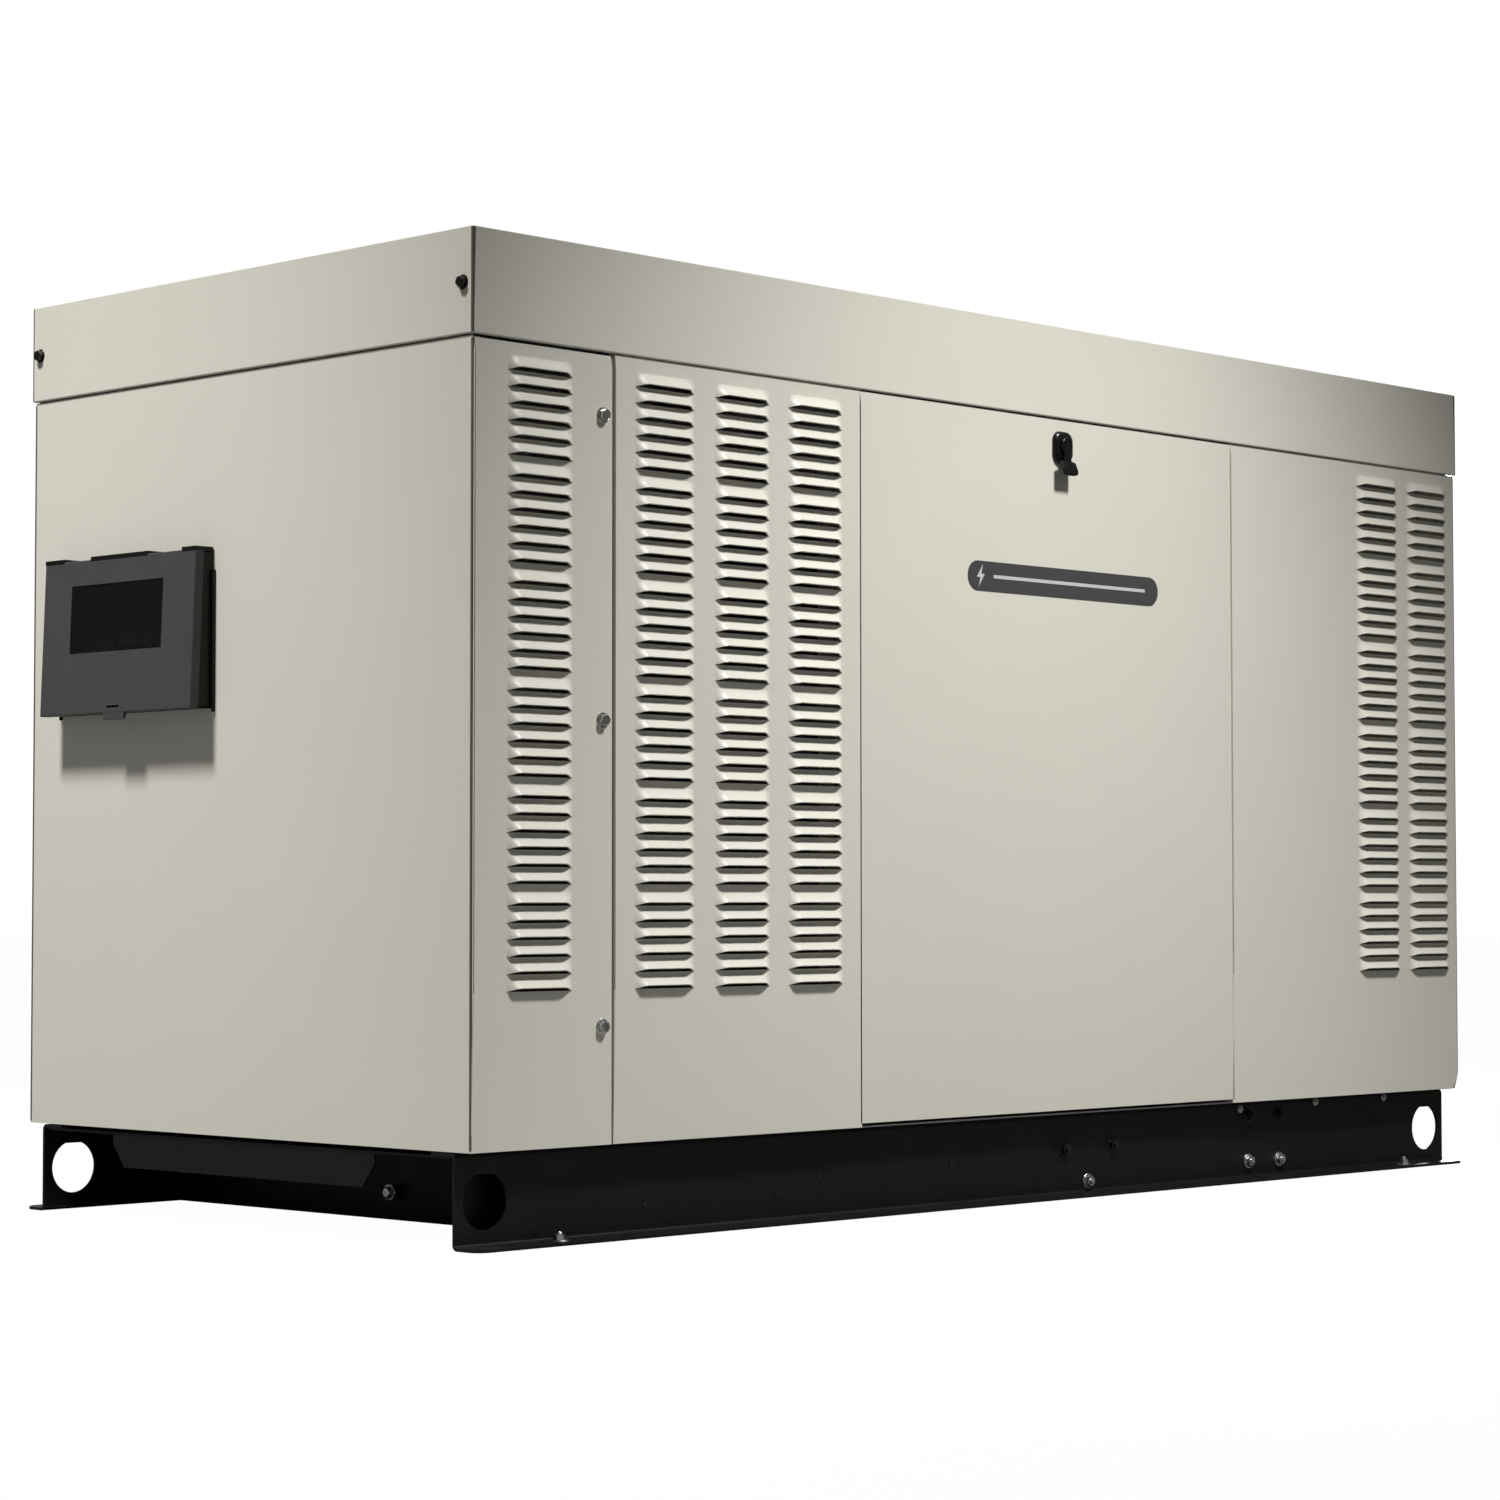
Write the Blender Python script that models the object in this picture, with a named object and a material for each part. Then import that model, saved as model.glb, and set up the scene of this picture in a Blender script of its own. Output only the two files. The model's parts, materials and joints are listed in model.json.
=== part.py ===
"""Home standby generator: a liquid-cooled engine and alternator in a louvered sheet-steel cabinet on a black base frame.

Metres, +Z up. X runs along the length, from the controller end (-X) to the discharge end (+X); the front door faces -Y.
The origin is the middle of the footprint, on the slab. `along(x)` turns a distance from the cabinet's left end into X,
and `inset(side, d)` turns a distance inboard from the front (-1) or rear (+1) cabinet face into Y.
"""

import math

import bmesh
import bpy
from mathutils import Matrix, Vector

# ---------------------------------------------------------------- driving dimensions
CAB_L = 1.950  # cabinet length
CAB_W = 0.834  # cabinet depth
PANEL_Z0 = 0.1115  # bottom edge of the side and end panels
SKIRT_Z0 = 1.0204  # bottom edge of the roof skirt
TOP_Z = 1.1409  # top of the roof
ROOF_OVER = 0.003  # roof skirt stands proud of the panels by this
SHEET = 0.002  # cabinet sheet thickness
RETURN = 0.022  # depth of the folded edges of the panels
GAP = 0.0003  # clearance between touching pieces

RAIL_L = 1.947
RAIL_H = 0.1085
RAIL_T = 0.004
RAIL_INSET = 0.0267  # web's outer face, inboard of the cabinet face
RAIL_FLANGE = 0.040
LIFT_R = 0.0325  # lifting hole, cut flat at its top
LIFT_Z = 0.053
LIFT_TOP = 0.083
LIFT_X = (0.045, 1.902)

SEAM_CORNER = 0.2153  # corner panel to louvered panel
SEAM_DOOR_L = 0.640  # louvered panel to door
SEAM_DOOR_R = 1.398  # door to right-hand panel
DOOR_Z0, DOOR_Z1 = 0.1172, 1.0155

LOUVER_PITCH = 0.0192
GROUP_PITCH = 0.1206
GROUPS, PER_GROUP = 6, 6
LOUVER_Z0 = 0.2905
LOUVER_PROUD = 0.0085
COL_CORNER = ((0.054, 0.1525),)
COL_PANEL = ((0.253, 0.349), (0.385, 0.477), (0.511, 0.606))
COL_RIGHT = ((1.703, 1.799), (1.832, 1.929))

ROOF_BOLT_D, ROOF_BOLT_Z = 0.0135, 1.0786
CORNER_BOLT_X, CORNER_BOLT_Z = 0.200, (0.244, 0.595, 0.947)
HEAD_H = 0.0065

LATCH_X, LATCH_Z = 1.031, 0.984
LATCH_PROUD = 0.0172

BOX_Y0, BOX_Y1 = 0.0475, 0.353  # controller cover, across the end
BOX_Z0, BOX_Z1 = 0.617, 0.812
BOX_TOP_D, BOX_BOTTOM_D = 0.028, 0.0358  # how far it stands off the end panel
WIN_Y0, WIN_Y1, WIN_Z0, WIN_Z1 = 0.109, 0.295, 0.693, 0.777
PIVOT_D, PIVOT_Z = 0.006, 0.8100  # the cover's hinge line

CRANK_Z = 0.360
FAN_Z = 0.515
FAN_R = 0.232
CRANK_PULLEY_R, FAN_PULLEY_R = 0.072, 0.058

LEFT = -(CAB_L + ROOF_OVER + HEAD_H - BOX_BOTTOM_D) / 2  # X of the cabinet's left end


def along(x):
    return LEFT + x


def inset(side, d):
    return side * (CAB_W / 2 - d)


# triangle clipped off the side panels' lower right corners
CLIPPED = [(along(CAB_L - 0.012), PANEL_Z0 - 0.001), (along(CAB_L + 0.01), PANEL_Z0 - 0.001), (along(CAB_L + 0.01), PANEL_Z0 + 0.033), (along(CAB_L), PANEL_Z0 + 0.018)]


# ---------------------------------------------------------------- materials and mesh helpers
for old in list(bpy.data.objects):
    bpy.data.objects.remove(old, do_unlink=True)

MATERIALS = {}


def material(name, colour, roughness, metallic=0.0, alpha=1.0):
    if name not in MATERIALS:
        made = bpy.data.materials.new(name)
        made.use_nodes = True
        shader = made.node_tree.nodes["Principled BSDF"]
        shader.inputs["Base Color"].default_value = (*colour, 1.0)
        shader.inputs["Roughness"].default_value = roughness
        shader.inputs["Metallic"].default_value = metallic
        shader.inputs["Alpha"].default_value = alpha
        made.diffuse_color = (*colour, alpha)
        MATERIALS[name] = made
    return MATERIALS[name]


CABINET = ("cabinet_paint", (0.60, 0.575, 0.50), 0.42, 0.0)
BASE = ("base_paint", (0.010, 0.009, 0.010), 0.45, 0.0)
FRAME = ("frame_steel", (0.42, 0.42, 0.41), 0.45, 0.6)
PLASTIC = ("charcoal_plastic", (0.065, 0.064, 0.068), 0.45, 0.0)
GLOSS = ("black_gloss", (0.012, 0.012, 0.012), 0.15, 0.0)
WINDOW = ("smoked_window", (0.03, 0.03, 0.035), 0.05, 0.0, 0.4)
BOLT = ("zinc_steel", (0.62, 0.62, 0.60), 0.3, 1.0)
BOLT_BLACK = ("black_steel", (0.05, 0.045, 0.04), 0.35, 0.8)
IRON = ("engine_iron", (0.09, 0.09, 0.095), 0.55, 0.3)
ALLOY = ("cast_alloy", (0.55, 0.56, 0.57), 0.45, 0.9)
RUBBER = ("rubber", (0.018, 0.018, 0.018), 0.75, 0.0)
EXHAUST = ("exhaust_steel", (0.36, 0.33, 0.29), 0.5, 0.8)
FACEPLATE = ("faceplate", (0.10, 0.10, 0.11), 0.5, 0.0)
KEY = ("key_grey", (0.30, 0.31, 0.32), 0.5, 0.0)
RED = ("breaker_red", (0.45, 0.03, 0.02), 0.4, 0.0)

ROOT = bpy.data.objects.new("generator", None)
bpy.context.scene.collection.objects.link(ROOT)


def to_object(name, bm, look=None, origin=(0, 0, 0), smooth=None, parent=None):
    """Turn the bmesh, modelled in world coordinates, into an object whose own origin is `origin`."""
    bmesh.ops.recalc_face_normals(bm, faces=bm.faces[:])
    bmesh.ops.translate(bm, verts=bm.verts[:], vec=-Vector(origin))
    mesh = bpy.data.meshes.new(name)
    bm.to_mesh(mesh)
    bm.free()
    obj = bpy.data.objects.new(name, mesh)
    bpy.context.scene.collection.objects.link(obj)
    if look:
        mesh.materials.append(material(*look))
        holder = parent or ROOT
        obj.parent = holder
        obj.location = Vector(origin) - (holder.get("at") and Vector(holder["at"]) or Vector((0, 0, 0)))
        obj["at"] = tuple(origin)
    else:
        obj.location = origin
        obj.hide_render = True
        obj.display_type = "WIRE"
    if smooth:
        mesh.shade_smooth()
        mesh.set_sharp_from_angle(angle=math.radians(smooth))
    return obj


def add_prism(bm, points, axis, lo, hi):
    """Extrude a closed outline from lo to hi along axis; its points are the other two coordinates, in X, Y, Z order."""

    def at(p, h):
        return {"X": (h, p[0], p[1]), "Y": (p[0], h, p[1]), "Z": (p[0], p[1], h)}[axis]

    low = [bm.verts.new(at(p, lo)) for p in points]
    high = [bm.verts.new(at(p, hi)) for p in points]
    bm.faces.new(low)
    bm.faces.new(reversed(high))
    for i in range(len(points)):
        j = (i + 1) % len(points)
        bm.faces.new((low[i], high[i], high[j], low[j]))


def prism(name, points, axis, lo, hi, look=None, **more):
    bm = bmesh.new()
    add_prism(bm, points, axis, lo, hi)
    return to_object(name, bm, look, **more)


def add_box(bm, a, b):
    (x0, y0, z0), (x1, y1, z1) = a, b
    x0, x1, y0, y1 = min(x0, x1), max(x0, x1), min(y0, y1), max(y0, y1)
    add_prism(bm, [(x0, y0), (x1, y0), (x1, y1), (x0, y1)], "Z", min(z0, z1), max(z0, z1))


def box(name, a, b, look=None, **more):
    bm = bmesh.new()
    add_box(bm, a, b)
    return to_object(name, bm, look, **more)


def circle(r, n, cx=0.0, cy=0.0, start=0.0):
    return [(cx + r * math.cos(start + 2 * math.pi * i / n), cy + r * math.sin(start + 2 * math.pi * i / n)) for i in range(n)]


def cylinder(name, centre, axis, r, lo, hi, n=24, look=None, **more):
    """A round bar along an axis; centre is the other two coordinates, in X, Y, Z order."""
    more.setdefault("smooth", 30)
    return prism(name, circle(r, n, *centre), axis, lo, hi, look, **more)


def turned(name, profile, axis, centre, n=32, look=None, **more):
    """Turn (radius, height) points about an axis; the first and last are on it, or close the ends with discs."""
    bm = bmesh.new()
    rings = []
    for r, h in profile:
        rings.append(
            [
                bm.verts.new({"X": (h, p[0], p[1]), "Y": (p[0], h, p[1]), "Z": (p[0], p[1], h)}[axis])
                for p in circle(r, n, *centre)
            ]
        )
    for a, b in zip(rings, rings[1:]):
        for i in range(n):
            j = (i + 1) % n
            bm.faces.new((a[i], a[j], b[j], b[i]))
    bm.faces.new(rings[0])
    bm.faces.new(rings[-1])
    more.setdefault("smooth", 30)
    return to_object(name, bm, look, **more)


def boolean(obj, operation, others):
    for other in others:
        step = obj.modifiers.new(operation.lower(), "BOOLEAN")
        step.operation = operation
        step.solver = "EXACT"
        step.object = other
    return obj


def cut(obj, *cutters):
    return boolean(obj, "DIFFERENCE", cutters)


def fuse(obj, *others):
    return boolean(obj, "UNION", others)


def tube(name, points, r, look, sides=2, samples=6):
    """A solid round bar along a smooth curve through the points."""
    pts = [Vector(p) for p in points]
    ends = [2 * pts[0] - pts[1], *pts, 2 * pts[-1] - pts[-2]]
    path = []
    for a, b, c, d in zip(ends, ends[1:], ends[2:], ends[3:]):
        for i in range(samples):
            t = i / samples
            path.append(
                0.5 * ((2 * b) + (c - a) * t + (2 * a - 5 * b + 4 * c - d) * t * t + (3 * b - a - 3 * c + d) * t ** 3)
            )
    path.append(pts[-1])
    curve = bpy.data.curves.new(name, "CURVE")
    curve.dimensions = "3D"
    curve.bevel_depth = r
    curve.bevel_resolution = sides
    curve.use_fill_caps = True
    spline = curve.splines.new("POLY")
    spline.points.add(len(path) - 1)
    for point, p in zip(spline.points, path):
        point.co = (*p, 1)
    obj = bpy.data.objects.new(name, curve)
    bpy.context.scene.collection.objects.link(obj)
    obj.parent = ROOT
    curve.materials.append(material(*look))
    return obj


def add_bolt(bm, centre, axis, side, face, r=0.0078, washer=0.0105, shank_r=0.004, shank=0.014):
    """A flanged hex bolt. `face` is where its flange sits, `side` the way its head points, and `centre` the other two coordinates."""
    n = 12

    def ring(radius, h, hexed=False):
        out = []
        for i in range(n):
            a = 2 * math.pi * i / n
            rr = radius * (math.cos(math.pi / 6) if hexed and i % 2 else 1.0)
            p = (centre[0] + rr * math.cos(a), centre[1] + rr * math.sin(a))
            h_ = face + side * h
            out.append(bm.verts.new({"X": (h_, *p), "Y": (p[0], h_, p[1])}[axis]))
        return out

    rings = [
        ring(shank_r, -shank),
        ring(shank_r, GAP),
        ring(washer, GAP),
        ring(washer, GAP + 0.0014),
        ring(r, GAP + 0.0014, True),
        ring(r, HEAD_H, True),
    ]
    for a, b in zip(rings, rings[1:]):
        for i in range(n):
            j = (i + 1) % n
            bm.faces.new((a[i], a[j], b[j], b[i]))
    bm.faces.new(rings[0])
    bm.faces.new(rings[-1])


def bolt(name, centre, axis, side, face, look):
    bm = bmesh.new()
    add_bolt(bm, centre, axis, side, face)
    return to_object(name, bm, look)


# ---------------------------------------------------------------- base frame
SIDES = (("front", -1), ("rear", 1))

for word, s in SIDES:
    bm = bmesh.new()
    outer = RAIL_INSET - RAIL_FLANGE
    inner = RAIL_INSET + RAIL_T
    lip = RAIL_INSET + RAIL_FLANGE
    section = [
        (outer, 0.0), (inner, 0.0), (inner, RAIL_H - RAIL_T), (lip, RAIL_H - RAIL_T),
        (lip, RAIL_H), (RAIL_INSET, RAIL_H), (RAIL_INSET, RAIL_T), (outer, RAIL_T),
    ]
    add_prism(bm, [(inset(s, d), z) for d, z in section], "X", along(0), along(RAIL_L))
    # the toe's free corners are rounded in plan
    toe = [
        e for e in bm.edges
        if all(abs(v.co.y - inset(s, outer)) < 1e-6 for v in e.verts) and abs(e.verts[0].co.z - e.verts[1].co.z) > 1e-4
    ]
    bmesh.ops.bevel(bm, geom=toe, offset=0.018, segments=4, profile=0.5, affect="EDGES")
    rail = to_object(f"{word}_rail", bm, BASE)
    for i, x in enumerate(LIFT_X):
        n = 28
        half = math.acos((LIFT_TOP - LIFT_Z) / LIFT_R)
        ring = [
            (along(x) + LIFT_R * math.sin(half + (2 * math.pi - 2 * half) * k / n), LIFT_Z + LIFT_R * math.cos(half + (2 * math.pi - 2 * half) * k / n))
            for k in range(n + 1)
        ]
        lo, hi = sorted((inset(s, RAIL_INSET - 0.004), inset(s, inner + 0.004)))
        cut(rail, prism(f"cutter_{word}_lift_{i}", ring, "Y", lo, hi))

WEB_Y = CAB_W / 2 - RAIL_INSET - RAIL_T - GAP  # the cross-members fit between the rails' webs
CROSS_TOP = RAIL_H - RAIL_T - GAP

# shallow apron under the controller end, with its corners cut away
bm = bmesh.new()
add_box(bm, (along(0.004), -WEB_Y, CROSS_TOP - 0.003), (along(0.046), WEB_Y, CROSS_TOP))
apron = to_object("left_end_crossmember", bm, BASE)
fuse(
    apron,
    prism(
        "add_apron_web",
        [(-0.248, CROSS_TOP - 0.001), (-0.248, 0.090), (-0.226, 0.062), (0.226, 0.062), (0.248, 0.090), (0.248, CROSS_TOP - 0.001)],
        "X", along(0.0043), along(0.0072),
    ),
)

# deep channel set back from the end, open towards the engine
x0, x1, z0 = along(0.203), along(0.245), 0.002
prism(
    "left_crossmember",
    [(x0, z0), (x1, z0), (x1, z0 + 0.004), (x0 + 0.004, z0 + 0.004), (x0 + 0.004, CROSS_TOP - 0.004), (x1, CROSS_TOP - 0.004), (x1, CROSS_TOP), (x0, CROSS_TOP)],
    "Y", -WEB_Y, WEB_Y, BASE,
)
for name, x, w, z0 in (("engine_crossmember", 1.1135, 0.128, 0.010), ("radiator_crossmember", 1.504, 0.104, 0.010)):
    a, b = along(x - w / 2), along(x + w / 2)
    t = 0.005
    prism(
        name,
        [(a, z0), (a + t, z0), (a + t, CROSS_TOP - t), (b - t, CROSS_TOP - t), (b - t, z0), (b, z0), (b, CROSS_TOP), (a, CROSS_TOP)],
        "Y", -WEB_Y, WEB_Y, BASE,
    )

STUB_X0, STUB_X1, STUB_Y = 0.060, 0.190, 0.150
PAN_Z0, PAN_Z1 = RAIL_H + GAP, RAIL_H + GAP + 0.002
pan = box("floor_pan", (along(0.005), -CAB_W / 2 + 0.006, PAN_Z0), (along(CAB_L - 0.005), CAB_W / 2 - 0.006, PAN_Z1), FRAME)
FUEL_X, FUEL_Y = 0.760, 0.290
cut(
    pan,
    box("cutter_stub_up", (along(STUB_X0), -STUB_Y, 0.10), (along(STUB_X1), STUB_Y, 0.12)),
    cylinder("cutter_fuel_hole", (along(FUEL_X), FUEL_Y), "Z", 0.024, 0.10, 0.12, 16),
)


# ---------------------------------------------------------------- cabinet
def louver_bank(name, side, columns):
    """Rows of raised hoods, open below on the real panel: a toothed bar for each column, sunk into the sheet."""
    bars = []
    hood = 0.0135
    for c, (x0, x1) in enumerate(columns):
        points = []
        for g in range(GROUPS):
            for k in range(PER_GROUP):
                z = LOUVER_Z0 + g * GROUP_PITCH + k * LOUVER_PITCH
                points += [
                    (inset(side, 0.0008), z),
                    (inset(side, -LOUVER_PROUD), z),
                    (inset(side, 0.0008), z + hood),
                ]
        points += [(inset(side, 0.0013), points[-1][1] + 0.001), (inset(side, 0.0013), LOUVER_Z0 - 0.001)]
        bars.append(prism(f"add_{name}_louvers_{c}", points, "X", along(x0), along(x1)))
    return bars


def side_panel(name, side, x0, x1, z0, z1, left=True, right=True, columns=(), look=CABINET, **more):
    """A sheet with its upright edges folded inwards."""
    a, b = along(x0), along(x1)
    outline = [(a, inset(side, 0.0)), (b, inset(side, 0.0))]
    if right:
        outline += [(b, inset(side, RETURN)), (b - SHEET, inset(side, RETURN)), (b - SHEET, inset(side, SHEET))]
    else:
        outline += [(b, inset(side, SHEET))]
    if left:
        outline += [(a + SHEET, inset(side, SHEET)), (a + SHEET, inset(side, RETURN)), (a, inset(side, RETURN))]
    else:
        outline += [(a, inset(side, SHEET))]
    panel = prism(name, outline, "Z", z0, z1, look, **more)
    if columns:
        fuse(panel, *louver_bank(name, side, columns))
    return panel


HALF_SEAM = 0.0008
for word, s in SIDES:
    corner = side_panel(f"{word}_corner_panel", s, 0.0, SEAM_CORNER - HALF_SEAM, PANEL_Z0, SKIRT_Z0 - 0.0040, left=False, columns=COL_CORNER)
    for i, z in enumerate(CORNER_BOLT_Z):
        lo, hi = sorted((inset(s, -0.01), inset(s, 0.01)))
        cut(corner, cylinder(f"cutter_{word}_corner_bolt_{i}", (along(CORNER_BOLT_X), z), "Y", 0.0045, lo, hi, 12))
        if s < 0:
            bolt(f"corner_bolt_{'lower middle upper'.split()[i]}", (along(CORNER_BOLT_X), z), "Y", s, inset(s, 0.0), BOLT)
    side_panel(f"{word}_louver_panel", s, SEAM_CORNER + HALF_SEAM, SEAM_DOOR_L - 0.001, PANEL_Z0, SKIRT_Z0 - 0.0010, columns=COL_PANEL)
    right_panel = side_panel(f"{word}_right_panel", s, SEAM_DOOR_R + 0.0005, CAB_L, PANEL_Z0, SKIRT_Z0 - 0.0010, right=False, columns=COL_RIGHT)
    lo, hi = sorted((inset(s, -0.010), inset(s, 0.005)))
    cut(right_panel, prism(f"cutter_{word}_clipped_corner", CLIPPED, "Y", lo, hi))

    # door: tilts out on the hooks along its bottom edge
    pivot = (0.0, inset(s, 0.001), DOOR_Z0 + 0.0013)
    door = side_panel(f"{word}_door", s, SEAM_DOOR_L + 0.001, SEAM_DOOR_R - 0.0008, DOOR_Z0, DOOR_Z1, origin=pivot)
    lo, hi = sorted((inset(s, -0.01), inset(s, 0.01)))
    cut(door, cylinder(f"cutter_{word}_latch_hole", (along(LATCH_X), LATCH_Z), "Y", 0.0085, lo, hi, 20))

    # latch escutcheon: a raised oval plate with a bore for the spindle
    w, top, bottom = 0.0185, 1.0030, 0.9610
    arc = [
        (along(LATCH_X) + w * math.cos(math.pi * k / 10), top - w + w * math.sin(math.pi * k / 10)) for k in range(11)
    ] + [
        (along(LATCH_X) - w * math.cos(math.pi * k / 10), bottom + w - w * math.sin(math.pi * k / 10)) for k in range(11)
    ]
    lo, hi = sorted((inset(s, -GAP), inset(s, -0.0075)))
    plate = prism(f"{word}_latch_plate", arc, "Y", lo, hi, GLOSS, parent=door, origin=(along(LATCH_X), inset(s, -GAP), LATCH_Z), smooth=40)
    lo, hi = sorted((inset(s, 0.01), inset(s, -0.02)))
    cut(plate, cylinder(f"cutter_{word}_plate_bore", (along(LATCH_X), LATCH_Z), "Y", 0.0072, lo, hi, 20))

    # latch handle: round boss, down-turned lever that flares outwards, spindle through the door and cam behind it
    lo, hi = sorted((inset(s, -0.0078), inset(s, -0.0115)))
    handle = cylinder(
        f"{word}_latch_handle", (along(LATCH_X), LATCH_Z), "Y", 0.0110, lo, hi, 20, GLOSS,
        parent=door, origin=(along(LATCH_X), inset(s, -0.0078), LATCH_Z),
    )
    neck = [(-0.0080, 0.9840), (-0.0112, 0.9840), (-0.0118, 0.9660), (-0.0132, 0.9605), (-0.0150, 0.9550), (-0.0120, 0.9550), (-0.0080, 0.9630)]
    paddle = [
        (-0.0080, 0.9655), (-0.0112, 0.9640), (-0.0134, 0.9595), (-0.0166, 0.9530), (-LATCH_PROUD, 0.9460),
        (-0.0162, 0.9437), (-0.0136, 0.9437), (-0.0112, 0.9530), (-0.0080, 0.9590),
    ]
    lo, hi = sorted((inset(s, -0.0100), inset(s, 0.0165)))
    fuse(
        handle,
        prism(f"add_{word}_neck", [(inset(s, d), z) for d, z in neck], "X", along(LATCH_X - 0.0070), along(LATCH_X + 0.0070)),
        prism(f"add_{word}_paddle", [(inset(s, d), z) for d, z in paddle], "X", along(LATCH_X - 0.0148), along(LATCH_X + 0.0148)),
        cylinder(f"add_{word}_spindle", (along(LATCH_X), LATCH_Z), "Y", 0.0062, lo, hi, 16),
    )
    lo, hi = sorted((inset(s, 0.0120), inset(s, 0.0155)))
    fuse(
        handle,
        box(f"add_{word}_cam", (along(LATCH_X - 0.0095), lo, LATCH_Z - 0.0105), (along(LATCH_X + 0.0095), hi, LATCH_Z + 0.029)),
    )

# end panels: sheets with their upright edges folded inwards, just inside the front and rear panels
edge = CAB_W / 2 - 0.0030
for word, face, inward in (("left", 0.0, 1), ("right", CAB_L, -1)):
    f, t, r = along(face), along(face + inward * SHEET), along(face + inward * RETURN)
    outline = [
        (f, -edge), (r, -edge), (r, -edge + SHEET), (t, -edge + SHEET),
        (t, edge - SHEET), (r, edge - SHEET), (r, edge), (f, edge),
    ]
    panel = prism(f"{word}_end_panel", outline, "Z", PANEL_Z0, SKIRT_Z0 - 0.0040, CABINET)
    if word == "right":
        for side_word, s in SIDES:
            lo, hi = sorted((inset(s, -0.010), inset(s, 0.030)))
            cut(panel, box(f"cutter_{side_word}_clipped_edge", (along(CAB_L - 0.03), lo, PANEL_Z0 - 0.01), (along(CAB_L + 0.01), hi, PANEL_Z0 + 0.018)))
    if word == "left":
        cut(panel, box("cutter_controller_aperture", (along(-0.01), BOX_Y0 + 0.015, BOX_Z0 + 0.015), (along(0.01), BOX_Y1 - 0.015, BOX_Z1 - 0.015)))

# roof: a pan with a deep skirt
ry = CAB_W / 2 + ROOF_OVER
roof = box("roof", (along(-ROOF_OVER), -ry, SKIRT_Z0), (along(CAB_L + ROOF_OVER), ry, TOP_Z), CABINET)
cut(
    roof,
    box("cutter_roof_hollow", (along(-ROOF_OVER + SHEET), -ry + SHEET, SKIRT_Z0 - 0.01), (along(CAB_L + ROOF_OVER - SHEET), ry - SHEET, TOP_Z - SHEET)),
)
for end, face, out in (("left", -ROOF_OVER, -1), ("right", CAB_L + ROOF_OVER, 1)):
    for word, s in SIDES:
        y = inset(s, ROOF_BOLT_D)
        lo, hi = sorted((along(face + out * 0.01), along(face - out * 0.01)))
        cut(roof, cylinder(f"cutter_roof_bolt_{end}_{word}", (y, ROOF_BOLT_Z), "X", 0.0045, lo, hi, 12))
        bolt(f"roof_bolt_{end}_{word}", (y, ROOF_BOLT_Z), "X", out, along(face), BOLT_BLACK)

# hoop that carries the panels and the doors' left edges
POST_D0, POST_D1 = 0.0240, 0.0540


def hoop(top):
    a, b = CAB_W / 2 - POST_D0, CAB_W / 2 - POST_D1
    return [(-a, PANEL_Z0), (-b, PANEL_Z0), (-b, top - 0.030), (b, top - 0.030), (b, PANEL_Z0), (a, PANEL_Z0), (a, top), (-a, top)]


prism("left_hoop", hoop(1.016), "X", along(0.620), along(0.660), FRAME)

# bulkhead between the engine bay and the discharge plenum, with the radiator's window and the exhaust's pass-through
EXH_Y, EXH_Z = 0.333, 0.640
bulkhead = prism("radiator_bulkhead", hoop(1.016), "X", along(1.378), along(1.418), FRAME)
sheet_in = CAB_W / 2 - POST_D0 - 0.010
fuse(bulkhead, box("add_bulkhead_sheet", (along(1.3950), -sheet_in, PANEL_Z0 + 0.004), (along(1.3980), sheet_in, 1.000)))
cut(
    bulkhead,
    box("cutter_radiator_window", (along(1.385), -0.262, 0.245), (along(1.41), 0.262, 0.775)),
    cylinder("cutter_exhaust_pass", (EXH_Y, EXH_Z), "X", 0.0285, along(1.37), along(1.425), 20),
)

# ---------------------------------------------------------------- controller on the left end
hy0, hy1, hz0, hz1 = BOX_Y0 + 0.0155, BOX_Y1 - 0.0155, BOX_Z0 + 0.0155, BOX_Z1 - 0.0155
housing = box("controller_housing", (along(-0.0035), hy0, hz0), (along(0.075), hy1, hz1), PLASTIC)
fuse(housing, box("add_housing_flange", (along(-0.0045), hy0 - 0.006, hz0 - 0.006), (along(-GAP), hy1 + 0.006, hz1 + 0.006)))
cut(housing, box("cutter_housing_hollow", (along(-0.02), hy0 + 0.0025, hz0 + 0.0025), (along(0.0725), hy1 - 0.0025, hz1 - 0.0025)))

PLATE_X0, PLATE_X1 = 0.0060, 0.0085
faceplate = box("controller_faceplate", (along(PLATE_X0), hy0 + 0.003, hz0 + 0.003), (along(PLATE_X1), hy1 - 0.003, hz1 - 0.003), FACEPLATE)
KEY_Z = 0.6560
KEYS = (("escape", 0.235), ("up", 0.215), ("down", 0.195), ("enter", 0.175))
for word, y in KEYS:
    cut(faceplate, cylinder(f"cutter_key_{word}", (y, KEY_Z), "X", 0.0066, along(PLATE_X0 - 0.005), along(PLATE_X1 + 0.005), 16))
    turned(
        f"button_{word}",
        [(0.0046, along(PLATE_X0 - 0.0040)), (0.0058, along(PLATE_X0 - 0.0030)), (0.0058, along(PLATE_X1 + 0.004))],
        "X", (y, KEY_Z), 16, KEY, origin=(along(PLATE_X0), y, KEY_Z),
    )
SWITCH_Y, SWITCH_Z = 0.120, 0.7150
cut(faceplate, box("cutter_switch", (along(PLATE_X0 - 0.005), SWITCH_Y - 0.0100, SWITCH_Z - 0.0175), (along(PLATE_X1 + 0.005), SWITCH_Y + 0.0100, SWITCH_Z + 0.0175)))
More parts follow.
